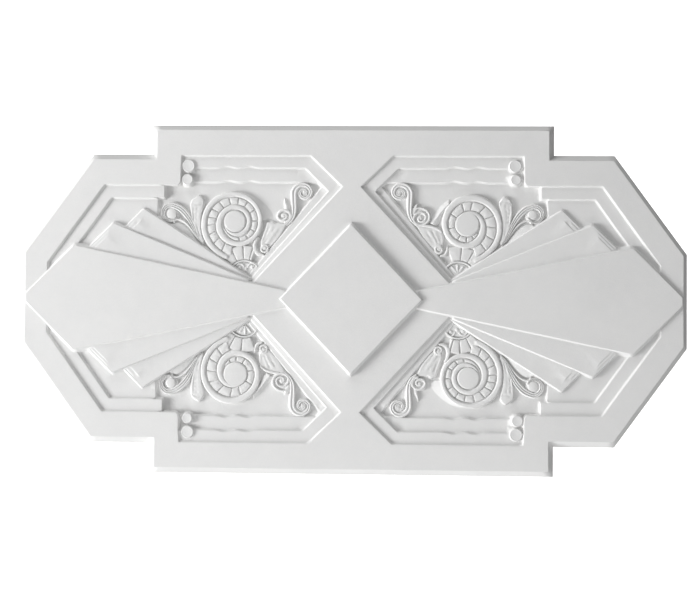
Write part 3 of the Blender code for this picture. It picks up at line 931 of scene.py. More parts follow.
@dataclass
class OuterScrolls:
    """The bud, the ribbed scroll and the leaf between the rosette and the field's end."""

    model: Carving

    def features(self) -> list[Feature]:
        """Gives the bud, the scroll with its stem and eye, and the leaf under it."""
        return [self.bud()] + self.scroll() + self.leaf()

    def bud(self) -> Plate:
        """Gives the tall bud, which is cut nearly flat and creased."""
        if self.model is Carving.FIRST:
            outline = drawn((276, 185.3), (282, 181.2), (288.6, 177), (290.6, 168), (290.2, 157),
                            (287.8, 146), (285, 136), (281, 124), (275.5, 109), (268.5, 99.5),
                            (266.5, 102.5), (270.5, 112), (273, 125), (273, 140), (272, 152),
                            (270, 162), (268.2, 170), (268, 177), (271.4, 181.8))
            folds = (drawn((266, 171), (278, 169), (291.5, 171.5)),
                     through(drawn((274, 112), (279, 132), (280, 150), (278.5, 166)), 5),
                     through(drawn((284, 140), (285.5, 152), (285, 166)), 5))
        else:
            outline = drawn((272.5, 184.5), (278.5, 181.2), (283.6, 177.4), (286, 170),
                            (286.4, 158), (285.2, 146), (282.7, 134), (279, 121), (273.5, 107),
                            (267.5, 99.5), (266, 103), (268.8, 113), (270.5, 126), (270, 140),
                            (268.5, 152), (266, 162), (264, 169.5), (265, 175.5), (268.5, 180.5))
            folds = (through(drawn((266, 172), (274, 176.5), (284, 173)), 5),
                     through(drawn((273, 115), (276.5, 132), (277.5, 150), (275.5, 172)), 5),
                     through(drawn((280, 140), (282, 155), (281, 170)), 5))
        return Plate(outline, LEVELS.leaf, 0.005, 0.30, 0.0006, True, 0.0005, folds,
                     0.0011, 0.0011)

    def scroll(self) -> list[Feature]:
        """Gives the scroll with three ribs, wound round a broad eye."""
        coil = Coil((0.3252, 0.1530), (0, 90, 180, 250), (20.4, 20.0, 15.6, 12.0),
                    (10.6, 11.6, 10.8, 8.4), 97.0, -1.0)
        knots = drawn((268.5, 99.0), (276.0, 111.0), (283.5, 126.0), (291.5, 141.0),
                      (300.5, 153.5), (311.0, 162.8), (323.4, 168.0))
        centre, radius = (((0.3252, 0.1524), 0.0086) if self.model is Carving.FIRST
                          else ((0.3232, 0.1530), 0.0080))
        return eye(centre, 0.0120, radius) + [
            wound_stem(knots, mm(4.5, 6.0, 8.0, 10.0, 11.4, 11.4, 10.7), coil, 245.0, 8.0,
                       roundness=0.36, ribs=3, channel=0.0024)]

    @staticmethod
    def leaf() -> list[Feature]:
        """Gives the leaf: a thin raised edge and a hollow that rises to the fan."""
        edge = drawn((277, 106), (283, 115), (289, 124), (296, 132.5), (304, 139), (312, 142.2),
                     (318.5, 141.5), (321.5, 137))
        hollow = drawn((279, 104.5), (286.5, 114), (292.5, 121.5), (299.5, 129), (306.5, 134.5),
                       (313, 137.5), (318, 137.0))
        blade = drawn((284, 100), (292, 105.5), (300, 111), (308, 116.5), (316, 122),
                      (324, 128), (330, 133))
        return [Drape(hollow, blade, LEVELS.leaf - 0.0034, LEVELS.leaf + 0.0008, 0.25),
                ribbon(edge, mm(2.0, 2.6, 3.0, 3.2, 3.4, 3.6, 3.4, 2.6), LEVELS.leaf, 5,
                       roundness=0.8)]


@dataclass
class Field:
    """One stepped corner field with its studs, in two carved models."""

    top: float = 0.2575
    second_edge: float = 0.2360
    third_edge: float = 0.2110
    side: float = 0.3070
    band_top: float = 0.2043
    band_foot: float = 0.1810
    wave_rise: float = 0.0030
    wave_crests: tuple[float, float] = (0.1850, 0.2250)
    wave_length: float = 0.0400
    wave_step: float = 0.0040
    jamb_side: float = 0.3382
    jamb_splay: float = 0.16
    third_foot: float = 0.0016

    def wavy(self, level: float, start: float, end: float, drift: float) -> Points:
        """Gives a level edge that lifts over two low waves.

        Args:
            level: the edge's place above the middle of the panel.
            start: where it begins, measured outwards.
            end: where it ends.
            drift: how far the waves are moved outwards.

        Returns:
            The points of both waves, each a squared cosine, and the two ends.
        """
        x = np.arange(start, end, math.copysign(self.wave_step, end - start))
        lift = sum(np.where(np.abs(x - c - drift) < self.wave_length / 2,
                            np.cos(np.pi * (x - c - drift) / self.wave_length) ** 2, 0.0)
                   for c in self.wave_crests)
        points = np.stack([x, level + self.wave_rise * lift], 1)
        flat = (lift == 0) & (np.roll(lift, 1) == 0) & (np.roll(lift, -1) == 0)
        flat[[0, -1]] = False
        return np.vstack([points[~flat], [[end, level]]])

    def pockets(self) -> list[Pocket]:
        """Gives the three steps, each cut from the one above it."""
        first = np.array([(self.side, self.top), (0.0740, self.top), (0.0159, 0.2015),
                          (0.1784, 0.0255), (0.3000, 0.0380), (0.5480, 0.0400),
                          (0.5480, 0.0630), (0.4460, self.band_top), (0.3105, self.band_top)])
        slant = ((0.0840, self.second_edge), (0.0410, 0.1935))
        second = np.vstack([self.wavy(self.second_edge, self.side + 0.0005, slant[0][0], 0.0),
                            [slant[1], (0.1830, 0.0320), (0.4800, 0.0600),
                             (0.4975, 0.0925), (0.4340, self.band_foot),
                             (0.3450, self.band_foot), (0.3420, 0.1700), (0.3000, 0.1900),
                             (0.3093, 0.2070)]])
        third = np.vstack([self.wavy(self.third_edge, 0.3100, 0.0622, -0.0015),
                           [(0.0532, 0.2021), (0.1870, 0.0400), (0.2150, 0.0450),
                            (0.3520, 0.1200), (0.3500, self.band_foot),
                            (self.jamb_side, self.band_foot),
                            (self.jamb_side, self.band_top + 0.0020),
                            (0.3140, self.band_top + 0.0020)]])
        return [Pocket(first, LEVELS.frame, LEVELS.band, True, (first[2], first[3])),
                Pocket(second, LEVELS.band, LEVELS.field, True, slant),
                Pocket(third, LEVELS.field, LEVELS.ground, True, foot=self.third_foot)]

    def jambs(self) -> list[Plate]:
        """Gives the blocks that narrow the two upper steps at the field's outer corner."""
        turn = polar((self.side + 0.0087, self.band_top + 0.0075), np.full(7, 0.0075),
                     np.linspace(180.0, 270.0, 7))
        far = self.jamb_side + 0.0090
        upper = np.vstack([turn, [(far, self.band_top), (far, 0.2500), (0.3082, 0.2500)]])
        low, high = self.band_foot + 0.0012, self.band_top
        end = far + 0.0100
        lower = np.array([(self.jamb_side, low), (end, low), (end, high), (self.jamb_side, high)])
        return [Plate(upper, LEVELS.frame - JUST_UNDER, 0.0125, self.jamb_splay, 0.0, True),
                Plate(lower, LEVELS.band - JUST_UNDER, 0.0085, self.jamb_splay, 0.0, True)]

    @staticmethod
    def studs(model: Carving) -> list[Feature]:
        """Gives the two buttons in the outer corner."""
        places = (((0.2942, 0.2384), 0.0106), ((0.2962, 0.2140), 0.0092))
        if model is Carving.SECOND:
            places = (((0.2913, 0.2393), 0.0104), ((0.2921, 0.2147), 0.0084))
        return [Dome(centre, radius, LEVELS.stud, -0.0009, 0.35, 0.0003)
                for centre, radius in places]


@dataclass
class Slip(Feature):
    """A low step beside a blade's end, which fades towards the blade's edge and root."""

    corner: Points
    along: Points
    face: float
    begin: float
    away: float
    rise: float
    splay: float = 1.3
    length: float = 0.0700
    reach: float = 0.0560
    fade: float = 0.0050
    behind: float = 0.0030
    softness: float = 0.0003
    step: float = 0.0040

    def height(self, points: Points) -> Points:
        """Gives the face and its rise where the step is full, and just under it elsewhere.

        The rise grows by a smooth step along the end and falls evenly towards the root. Its
        wall falls by the distance over the splay.
        """
        gap = points - self.corner
        p = gap @ self.along - self.begin
        q = gap @ np.array([self.along[1], -self.along[0]]) - self.away
        share = smooth_step(p / self.fade) * np.clip(1.0 - q / self.length, 0.0, 1.0)
        top = self.face - SOFT.foot + (self.rise + SOFT.foot) * share
        surface = smooth_min(top, self.face + self.rise + q / self.splay, self.softness)
        return np.where((share > 0.0) & (q > -self.behind), surface, NOWHERE)

    def rows(self) -> tuple[Points, bool]:
        """Rows beside the wall, along the end."""
        inwards = np.array([self.along[1], -self.along[0]])
        p = np.arange(self.begin, self.reach, self.step)[:, None]
        return np.array([self.corner + self.along * p + inwards * (self.away + offset)
                         for offset in SLIP_OFFSETS]), False


@dataclass
class Fan:
    """The blades of one quarter of a fan and the low steps near their ends."""

    splay: float = 0.48

    def blades(self) -> list[Feature]:
        """Gives the outer blades, lowest first, each with its two steps."""
        third = np.array([(0.3750, 0.1610), (0.4120, 0.1240), (0.4000, 0.0900),
                          (0.2000, 0.0300), (0.1720, 0.0310)])
        second = np.array([(0.4290, 0.1340), (0.4740, 0.0900), (0.4600, 0.0600),
                           (0.2000, 0.0200), (0.1820, 0.0330)])
        return ([Plate(third, LEVELS.third_blade, 0.0095, self.splay)]
                + self.slips(third, LEVELS.third_blade, ((0.0240, 0.0050), (0.0160, 0.0120)))
                + [Plate(second, LEVELS.second_blade, 0.0090, self.splay)]
                + self.slips(second, LEVELS.second_blade, ((0.0110, 0.0044), (0.0170, 0.0094))))

    @staticmethod
    def slips(blade: Points, face: float, starts: Sequence[tuple[float, float]]) -> list[Feature]:
        """Gives the low steps of one blade.

        Args:
            blade: the blade's outline, from the upper to the lower corner of its end.
            face: the blade's height.
            starts: for each step its distance from the upper corner and from the end.

        Returns:
            The steps, the one nearest to the end first.
        """
        along = (blade[1] - blade[0]) / np.linalg.norm(blade[1] - blade[0])
        return [Slip(blade[0], along, face, begin, away, LEVELS.slip * (1.0 + SLIP_GROWTH * number))
                for number, (begin, away) in enumerate(starts)]


@dataclass
class Panel:
    """The whole casting: its outline and its relief."""

    block_half: tuple[float, float] = (0.3511, 0.3028)
    shoulder: tuple[float, float] = (0.4652, 0.2494)
    end: tuple[float, float] = (0.5880, 0.0805)
    lozenge_half: tuple[float, float] = (0.1251, 0.1321)
    blade_corner: tuple[float, float] = (0.4980, 0.0935)
    blade_tip: tuple[float, float] = (0.5850, 0.0070)
    blade_start: float = 0.0476
    carved_low: tuple[float, float] = (0.0, 0.03)
    carved_high: tuple[float, float] = (0.36, 0.26)
    box_margin: float = 0.001
    fields: dict[Carving, list[Feature]] = field(init=False)
    boxes: dict[Carving, list[tuple[Points, Points]]] = field(init=False)

    def __post_init__(self) -> None:
        """Gathers the features, lowest first."""
        self.pockets = Field().pockets()
        self.jambs = Field().jambs()
        self.blades = Fan().blades()
        self.fields, self.boxes = {}, {}
        for model in Carving:
            self.fields[model] = (Rosette(model).features() + Shell(model).features()
                                  + InnerScrolls(model).features()
                                  + OuterScrolls(model).features() + Field.studs(model))
            grids = [feature.rows()[0].reshape(-1, 2) for feature in self.fields[model]]
            self.boxes[model] = [(grid.min(0) - self.box_margin, grid.max(0) + self.box_margin)
                                 for grid in grids]
        corner, tip = self.blade_corner, self.blade_tip
        blade = [(self.blade_start, 0.0), (corner[0], -corner[1]), (tip[0], -tip[1]), tip, corner]
        self.centre_blade = Plate(np.array(blade), LEVELS.centre_blade, 0.0125)
        wide, tall = self.lozenge_half
        self.lozenge = Plate(np.array([(wide, 0.0), (0.0, tall), (-wide, 0.0), (0.0, -tall)]),
                             LEVELS.lozenge, 0.0100, 0.44)

    def outline(self) -> Points:
        """Gives the corners of the panel's face, anticlockwise from the right-hand end."""
        quarter = [self.end, self.shoulder, (self.block_half[0], self.shoulder[1]),
                   self.block_half]
        upper = quarter + [(-x, z) for x, z in reversed(quarter)]
        return np.array(upper + [(-x, -z) for x, z in upper])

    def wall(self, points: Points) -> Points:
        """Gives the height of the splayed outer wall.

        Args:
            points: places on the panel, one a row.

        Returns:
            The frame's level plus the depth over the splay. The depth is the greater of the
            one inside the block and the one inside the long part, each with mitred corners.
        """
        folded = np.abs(points)
        bw, bh = self.block_half
        block = np.minimum(bw - folded[:, 0], bh - folded[:, 1])
        (sx, sz), (ex, _) = self.shoulder, self.end
        long_part = np.array([(ex, self.end[1]), (sx, sz), (-sx, sz), (-ex, self.end[1]),
                              (-ex, -self.end[1]), (-sx, -sz), (sx, -sz), (ex, -self.end[1])])
        depth = np.maximum(block, mitred_depth(folded, long_part))
        return LEVELS.frame + depth / SOFT.splay

    def height(self, points: Points) -> Points:
        """Gives the relief's height above the back at points of the whole panel.

        Args:
            points: places on the panel, one a row.

        Returns:
            Frame face, less the pockets, then raised by the plates and the carving. The second
            carving stands where x and z have the same sign.
        """
        folded = np.abs(points)
        same_sign = points[:, 0] * points[:, 1] > 0
        (_, low_z), (far_x, high_z) = self.carved_low, self.carved_high
        result = np.full(len(points), LEVELS.frame)
        for pocket in self.pockets:
            result = smooth_min(result, pocket.height(folded), SOFT.edge)
        for jamb in self.jambs:
            result = np.maximum(result, jamb.height(folded))
        for kind, second in ((Carving.FIRST, False), (Carving.SECOND, True)):
            chosen = np.flatnonzero((same_sign == second) & (folded[:, 0] < far_x)
                                    & (folded[:, 1] > low_z) & (folded[:, 1] < high_z))
            carved = result[chosen]
            places = folded[chosen]
            for feature, (low, high) in zip(self.fields[kind], self.boxes[kind]):
                near = np.flatnonzero(((places >= low) & (places <= high)).all(1))
                if len(near):
                    carved[near] = smooth_max(carved[near], feature.height(places[near]),
                                              SOFT.carved)
            result[chosen] = carved
        for plate in self.blades:
            result = smooth_max(result, plate.height(folded), SOFT.foot)
        right = np.stack([folded[:, 0], points[:, 1]], 1)
        result = smooth_max(result, self.centre_blade.height(right), SOFT.foot)
        result = smooth_max(result, self.lozenge.height(points), SOFT.foot)
        return smooth_min(result, self.wall(points), SOFT.edge)


@dataclass
class Sculptor:
    """Samples the relief and turns it into one closed mesh."""

    panel: Panel
    wall_foot: float = 0.0120
    flat_step: float = 0.0120
    carved_step: float = 0.0032
    cell: float = 0.00042
    visible: float = 0.0007
    tolerance: float = 0.00010
    passes: int = 3
    most_points: int = 98_500
    back_step: float = 0.0400
    back_edge: float = 0.050
    back_depth: float = 0.00031
    back_unrest: float = 0.0003
    back_wave: tuple[float, int] = (0.09, 3)
    spread_rows: int = 2
    long_edge: float = 2.4
    margin: float = 0.0040

    def feature_samples(self, feature: Feature, mirror: tuple[float, float],
                        folds: tuple[bool, bool]) -> Samples:
        """Keeps a feature's rows where it shows, and two rows beside each such place.

        Args:
            feature: the sunk or raised part.
            mirror: the signs that carry its drawing to a side of the panel.
            folds: whether x and z of its drawing may only be positive.

        Returns:
            The rows that show, joined along the rows.
        """
        grid, closed = feature.rows()
        flat = grid.reshape(-1, 2)
        placed = flat * np.array(mirror)
        shows = np.abs(feature.height(flat) - self.panel.height(placed)) < self.visible
        shows = shows.reshape(grid.shape[:2])
        for _ in range(self.spread_rows):
            spread = shows.copy()
            spread[1:] |= shows[:-1]
            spread[:-1] |= shows[1:]
            shows = spread
        inside = ((flat >= 0.0) | ~np.array(folds)).all(1).reshape(grid.shape[:2])
        return Samples.from_grid(placed.reshape(grid.shape), closed, shows & inside)

    def boundary(self) -> Points:
        """Gives points round the foot of the outer wall, evenly spaced on each side."""
        return rows_round(self.panel.outline(), [self.wall_foot], self.flat_step)[0]

    def first_samples(self) -> Samples:
        """Gathers the foot, the rows of every feature and the plain lattices."""
        foot = self.boundary()
        count = len(foot)
        parts = [Samples(foot, np.stack([np.arange(count), (np.arange(count) + 1) % count], 1))]
        edge_rows = rows_round(self.panel.outline(), EDGE_OFFSETS, self.flat_step)
        parts.append(Samples.from_grid(edge_rows, True, np.ones(edge_rows.shape[:2], bool)))
        parts.append(self.feature_samples(self.panel.lozenge, (1.0, 1.0), (False, False)))
        for sx in (1.0, -1.0):
            parts.append(self.feature_samples(self.panel.centre_blade, (sx, 1.0), (True, False)))
            for sz in (1.0, -1.0):
                model = Carving.SECOND if sx * sz > 0 else Carving.FIRST
                features = (self.panel.pockets + self.panel.jambs + self.panel.blades
                            + self.panel.fields[model])
                parts += [self.feature_samples(f, (sx, sz), (True, True)) for f in features]
                parts.append(self.lattice(self.panel.pockets[2].outline, self.carved_step,
                                          (sx, sz)))
        parts.append(self.lattice(offset_outline(self.panel.outline(), self.margin),
                                  self.flat_step, (1.0, 1.0)))
        starts = np.cumsum([0] + [len(part.points) for part in parts[:-1]])
        return Samples(np.vstack([part.points for part in parts]),
                       np.vstack([part.edges + start for part, start in zip(parts, starts)]))

    @staticmethod
    def lattice(outline: Points, step: float, mirror: tuple[float, float]) -> Samples:
        """Gives a lattice with every other row moved by half a step.

        Args:
            outline: the corners that the lattice stays inside.
            step: the distance between neighbours and between rows.
            mirror: the signs that carry it to a side of the panel.

        Returns:
            The lattice's points, with no edges.
        """
        low, high = outline.min(0), outline.max(0)
        x, z = np.meshgrid(np.arange(low[0], high[0], step), np.arange(low[1], high[1], step))
        x[1::2] += step / 2
        points = np.stack([x.ravel(), z.ravel()], 1)
        points = points[inside_depth(points, outline) > 0]
        return Samples(points * np.array(mirror), np.zeros((0, 2), int))

    def thin(self, samples: Samples) -> Samples:
        """Leaves one point, the earliest, in each small square cell.

        Args:
            samples: points and the edges between them.

        Returns:
            The points that are left, with every edge carried to them and none twice.
        """
        key = np.floor(samples.points / self.cell + 0.5).astype(np.int64)
        key = key[:, 0] * KEY_STRIDE + key[:, 1]
        _, first, group = np.unique(key, return_index=True, return_inverse=True)
        order = np.argsort(first)
        rank = np.empty_like(order)
        rank[order] = np.arange(len(order))
        edges = np.unique(np.sort(rank[group.ravel()[samples.edges]], axis=1), axis=0)
        return Samples(samples.points[first[order]], edges[edges[:, 0] != edges[:, 1]])

    @staticmethod
    def triangulate(samples: Samples, rim: Points) -> tuple[Points, Points]:
        """Joins the samples by triangles that keep their edges.

        Args:
            samples: points and the edges between them.
            rim: the corners of the outline; triangles past it are left out.

        Returns:
            The points and the triangles, as three point numbers a row.
        """
        result = delaunay_2d_cdt([Vector(p) for p in samples.points.tolist()],
                                 samples.edges.tolist(), [], 0, 1e-7, False)
        points = np.array([tuple(v) for v in result[0]])
        faces = np.array(result[2])
        inside = inside_depth(points[faces].mean(1), rim) > 0
        return points, faces[inside]

    def sculpt(self) -> tuple[Points, Points, Points]:
        """Triangulates the face and adds points where the flat triangles leave the relief.

        Returns:
            The places, their heights and the triangles, after passes in which the middles of
            edges are added where the gap, measured at right angles to the edge, is over the
            tolerance, the widest gaps first.
        """
        rim = self.boundary()
        samples = self.thin(self.first_samples())
        for number in range(self.passes + 1):
            points, faces = self.triangulate(samples, rim)
            heights = self.panel.height(points)
            LOG.info("pass %d: %d points, %d triangles", number, len(points), len(faces))
            room = self.most_points - len(points)
            if number == self.passes or room <= 0:
                break
            edges = np.unique(np.sort(faces[:, [0, 1, 1, 2, 2, 0]].reshape(-1, 2), 1), axis=0)
            corner = np.concatenate([points, -heights[:, None]], 1)
            ends = corner[edges]
            run = np.linalg.norm(ends[:, 1, :2] - ends[:, 0, :2], axis=1)
            rise = np.abs(ends[:, 1, 2] - ends[:, 0, 2])
            middle = ends.mean(1)
            long = run > self.long_edge * self.cell
            lean = run / np.maximum(np.hypot(run, rise), 1e-9)
            gap = np.zeros(len(edges))
            gap[long] = np.abs(self.panel.height(middle[long, :2]) + middle[long, 2]) * lean[long]
            worst = np.argsort(-gap)[:room]
            worst = worst[gap[worst] > self.tolerance]
            LOG.info("widest gap %.2f mm, %d places to add", gap.max() * 1000.0, len(worst))
            samples = self.thin(Samples(np.vstack([samples.points, middle[worst, :2]]),
                                        samples.edges))
        on_foot = inside_depth(points, rim) < 1e-6
        return points, np.where(on_foot, 0.0, heights), faces

    def back(self) -> tuple[Points, Points, Points]:
        """Triangulates the flat back, with the faint hollows that trowelled plaster has.

        Returns:
            The places, the depths of the hollows and the triangles. The rim comes first.
        """
        rim = self.boundary()
        count = len(rim)
        ring = np.stack([np.arange(count), (np.arange(count) + 1) % count], 1)
        inner = self.lattice(offset_outline(self.panel.outline(), 0.0), self.back_step, (1.0, 1.0))
        points, faces = self.triangulate(Samples(np.vstack([rim, inner.points]), ring), rim)
        inwards = smooth_step(inside_depth(points, rim) / self.back_edge)
        unrest = np.clip(waves(points, *self.back_wave), -1.0, 1.0)
        return points, inwards * (self.back_depth + self.back_unrest * unrest), faces


def waves(points: Points, length: float, seed: int, count: int = 9) -> Points:
    """Gives an even, seeded unrest between about -1 and 1.

    Args:
        points: places on the panel.
        length: the typical distance between crests.
        seed: the number that fixes the directions and phases.
        count: the sines that are added.

    Returns:
        The mean of sines in many directions, with lengths near the given one.
    """
    draw = np.random.default_rng(seed)
    heading = draw.uniform(0.0, 2.0 * np.pi, count)
    pace = 2.0 * np.pi / (length * draw.uniform(*WAVE_SPREAD, count))
    phase = draw.uniform(0.0, 2.0 * np.pi, count)
    turns = points @ (np.stack([np.cos(heading), np.sin(heading)]) * pace) + phase
    return np.sin(turns).sum(1) / math.sqrt(count) / WAVE_PEAK


@dataclass
class Casting:
    """The plaster casting: the sculpted face and the flat back, closed at the foot."""

    sculptor: Sculptor
    unrest: float = 0.00013
    drift: float = 0.00022
    name: str = "plaster_casting"
    free_height: float = 0.004
    slow_wave: tuple[float, int] = (0.16, 11)
    quick_wave: tuple[float, int] = (0.045, 12)
    quick_share: float = 0.6
    sway_length: float = 0.12
    sway_seeds: tuple[int, int] = (21, 22)
    hollow_reach: float = 0.004
    hollow_rounds: int = 14
    hollow_full: float = 0.0020

    def build(self, material: bpy.types.Material) -> bpy.types.Object:
        """Makes the casting as one closed mesh.

        Args:
            material: the plaster.

        Returns:
            The finished object, at the origin. Its height above the back runs towards -Y.
        """
        places, heights, faces = self.sculptor.sculpt()
        rear, dips, rear_faces = self.sculptor.back()
        depth = self.hollow(places, heights, faces)
        rim_count = len(self.sculptor.boundary())
        free = np.clip(heights / self.free_height, 0.0, 1.0)
        lift = free * self.unrest * (waves(places, *self.slow_wave)
                                     + self.quick_share * waves(places, *self.quick_wave))
        top = np.minimum(heights + lift, LEVELS.lozenge - JUST_UNDER)
        sway = np.stack([waves(places, self.sway_length, seed) for seed in self.sway_seeds], 1)
        moved = places + sway * (self.drift * free)[:, None]
        front = np.stack([moved[:, 0], -top, moved[:, 1]], 1)
        back = np.stack([rear[:, 0], -dips, rear[:, 1]], 1)
        joined = np.concatenate([np.arange(rim_count),
                                 len(front) + np.arange(len(back) - rim_count)])
        vertices = np.vstack([front, back[rim_count:]])
        triangles = np.vstack([faces, joined[rear_faces][:, ::-1]])
        mesh = bpy.data.meshes.new(self.name)
        mesh.from_pydata(vertices.tolist(), [], triangles.tolist())
        mesh.validate()
        mesh.shade_smooth()
        values = np.concatenate([depth, np.zeros(len(vertices) - len(front))])
        attribute = mesh.attributes.new("hollow", "FLOAT", "POINT")
        attribute.data.foreach_set("value", values.astype(np.float32))
        self.crease_foot(mesh, rim_count)
        mesh.materials.append(material)
        piece = bpy.data.objects.new(self.name, mesh)
        bpy.context.scene.collection.objects.link(piece)
        return piece

    @staticmethod
    def crease_foot(mesh: bpy.types.Mesh, rim_count: int) -> None:
        """Marks the foot of the outer wall sharp: both ends of its edges are foot points."""
        pairs = np.zeros(2 * len(mesh.edges), np.int32)
        mesh.edges.foreach_get("vertices", pairs)
        sharp = (pairs.reshape(-1, 2) < rim_count).all(1)
        flag = mesh.attributes.get("sharp_edge") or mesh.attributes.new("sharp_edge", "BOOLEAN",
                                                                        "EDGE")
        flag.data.foreach_set("value", sharp)

    def hollow(self, places: Points, heights: Points, faces: Points) -> Points:
        """Gives how far each point lies below the surface around it.

        Args:
            places: the points of the face.
            heights: their heights.
            faces: the triangles.

        Returns:
            The mean height around each point less its own, over a full hollow's depth and held
            between -1 and 1. The mean is taken over neighbours many times, each weighted by its
            distance up to a limit.
        """
        pairs = np.unique(np.sort(faces[:, [0, 1, 1, 2, 2, 0]].reshape(-1, 2), 1), axis=0)
        run = np.linalg.norm(places[pairs[:, 0]] - places[pairs[:, 1]], axis=1)
        weight = np.minimum(run, self.hollow_reach)
        a, b = pairs.T
        total = (np.bincount(a, weight, len(places)) + np.bincount(b, weight, len(places)))
        mean = heights.copy()
        for _ in range(self.hollow_rounds):
            gathered = (np.bincount(a, weight * mean[b], len(places))
                        + np.bincount(b, weight * mean[a], len(places)))
            mean = 0.5 * mean + 0.5 * gathered / np.maximum(total, 1e-12)
        return np.clip((mean - heights) / self.hollow_full, -1.0, 1.0)


class Shade:
    """A shader socket that adds, subtracts and multiplies by adding Math nodes."""

    def __init__(self, graph: "Graph", socket: bpy.types.NodeSocket) -> None:
        """Keeps the graph and the output socket."""
        self.graph = graph
        self.socket = socket

    def math(self, operation: str, first: "Shade | float", second: "Shade | float",
             clamp: bool = False) -> "Shade":
        """Adds one Math node.

        Args:
            operation: the node's operation.
            first: its first value or link.
            second: its second value or link.
            clamp: whether the result is held between 0 and 1.

        Returns:
            The result.
        """
        return self.graph.node("ShaderNodeMath", {"operation": operation, "use_clamp": clamp},
                               {0: first, 1: second})

    def __add__(self, other: "Shade | float") -> "Shade":
        """Sum."""
        return self.math("ADD", self, other)

    __radd__ = __add__

    def __sub__(self, other: "Shade | float") -> "Shade":
        """Difference."""
        return self.math("SUBTRACT", self, other)

    def __rsub__(self, other: "Shade | float") -> "Shade":
        """Difference from a number."""
        return self.math("SUBTRACT", other, self)

    def __mul__(self, other: "Shade | float") -> "Shade":
        """Product."""
        return self.math("MULTIPLY", self, other)

    __rmul__ = __mul__

    def clamped(self) -> "Shade":
        """The value held between 0 and 1."""
        return self.math("ADD", self, 0.0, True)


class Graph:
    """The node tree of one material."""

    def __init__(self, name: str) -> None:
        """Makes an empty material."""
        self.material = bpy.data.materials.new(name)
        self.material.use_nodes = True
        self.tree = self.material.node_tree
        self.tree.nodes.clear()

    def node(self, kind: str, settings: dict | None = None,
             inputs: dict[int | str, "Shade | float | tuple"] | None = None,
             output: int | str = 0) -> Shade:
        """Adds a node.

        Args:
            kind: the node's type.
            settings: its properties, or the stops of a ramp, set before its sockets.
            inputs: values or links by socket.
            output: the socket that is returned.

        Returns:
            The chosen output, ready for arithmetic.
        """
        node = self.tree.nodes.new(kind)
        for key, value in (settings or {}).items():
            if key == "stops":
                ramp = node.color_ramp.elements
                while len(ramp) < len(value):
                    ramp.new(0.5)
                for stop, (place, colour) in zip(ramp, value):
                    stop.position = place
                    stop.color = colour
            else:
                setattr(node, key, value)
        for key, value in (inputs or {}).items():
            if isinstance(value, Shade):
                self.tree.links.new(value.socket, node.inputs[key])
            else:
                node.inputs[key].default_value = value
        return Shade(self, node.outputs[output]) if len(node.outputs) else Shade(self, None)


@dataclass(frozen=True)
class Plaster:
    """Matt cast white plaster: faint clouds of tone, a fine grain and a little painted shade in its
    hollows.
    """

    light: tuple[float, float, float, float] = (0.865, 0.863, 0.855, 1.0)
    shade: tuple[float, float, float, float] = (0.800, 0.802, 0.800, 1.0)
    # The grey that paints shade into the hollows.
    hollow_shade: tuple[float, float, float, float] = (0.640, 0.625, 0.600, 1.0)
    roughness: float = 0.62
    cloud_noise: tuple[float, float, float] = (11.0, 4.0, 0.55)
    patch_noise: tuple[float, float, float] = (52.0, 3.0, 0.6)
    grain_noise: tuple[float, float, float] = (420.0, 3.0, 0.6)
    powder_noise: tuple[float, float, float] = (1500.0, 2.0, 0.5)
    pit_scale: float = 240.0
    bump_distance: float = 0.00034

    def material(self) -> bpy.types.Material:
        """Makes the material from Object coordinates and the casting's hollow attribute, which
        paints shade into the hollows.
        """
        graph = Graph("white_plaster_cast")
        place = graph.node("ShaderNodeTexCoord", output="Object")
        clouds = self.noise(graph, place, *self.cloud_noise)
        patches = self.noise(graph, place, *self.patch_noise)
        grain = self.noise(graph, place, *self.grain_noise)
        powder = self.noise(graph, place, *self.powder_noise)
        hollow = graph.node("ShaderNodeAttribute", {"attribute_name": "hollow"}, output="Fac")
        tone = (clouds * 0.9 + patches * 0.5 - 0.2 + (grain - 0.5) * 0.7).clamped()
        base = self.mix(graph, tone, self.shade, self.light)
        # Painted shade: the colour darkens towards a grey in the hollows, where shade falls, and
        # the same mask makes them a little rougher.
        hollow_shade_mask = ((hollow - 0.12) * 1.1 * (0.35 + patches)).clamped() * 0.30
        colour = self.mix(graph, hollow_shade_mask, base, self.hollow_shade)
        rough = self.roughness + 0.10 * patches + 0.10 * hollow_shade_mask
        pits = graph.node("ShaderNodeTexVoronoi", {"feature": "F1"},
                          {"Vector": place, "Scale": self.pit_scale, "Randomness": 1.0},
                          "Distance")
        bubbles = graph.node("ShaderNodeValToRGB", {"stops": [(0.0, (0, 0, 0, 1)),
                                                              (0.16, (1, 1, 1, 1))]}, {0: pits})
        relief = 0.55 * grain + 0.25 * powder + 0.9 * patches + bubbles * 0.35
        bump = graph.node("ShaderNodeBump", inputs={"Strength": 0.7, "Height": relief,
                                                    "Distance": self.bump_distance})
        shader = graph.node("ShaderNodeBsdfPrincipled",
                            inputs={"Base Color": colour, "Roughness": rough, "Normal": bump,
                                    "IOR": 1.45, "Specular IOR Level": 0.35})
        graph.node("ShaderNodeOutputMaterial", inputs={"Surface": shader})
        return graph.material

    @staticmethod
    def noise(graph: Graph, place: Shade, scale: float, detail: float, rough: float) -> Shade:
        """Adds a noise.

        Args:
            graph: the material's nodes.
            place: the coordinates.
            scale: the features to the metre.
            detail: the finer layers that are added.
            rough: how strong the finer layers are.

        Returns:
            A value between 0 and 1.
        """
        return graph.node("ShaderNodeTexNoise", None, {"Vector": place, "Scale": scale,
                                                       "Detail": detail, "Roughness": rough})

    @staticmethod
    def mix(graph: Graph, factor: Shade, first: object, second: object) -> Shade:
        """Mixes two colours.

        Args:
            graph: the material's nodes.
            factor: the share of the second colour.
            first: a colour, or a link to one.
            second: another.

        Returns:
            The mixed colour.
        """
        return graph.node("ShaderNodeMix", {"data_type": "RGBA"}, {0: factor, 6: first, 7: second},
                          2)


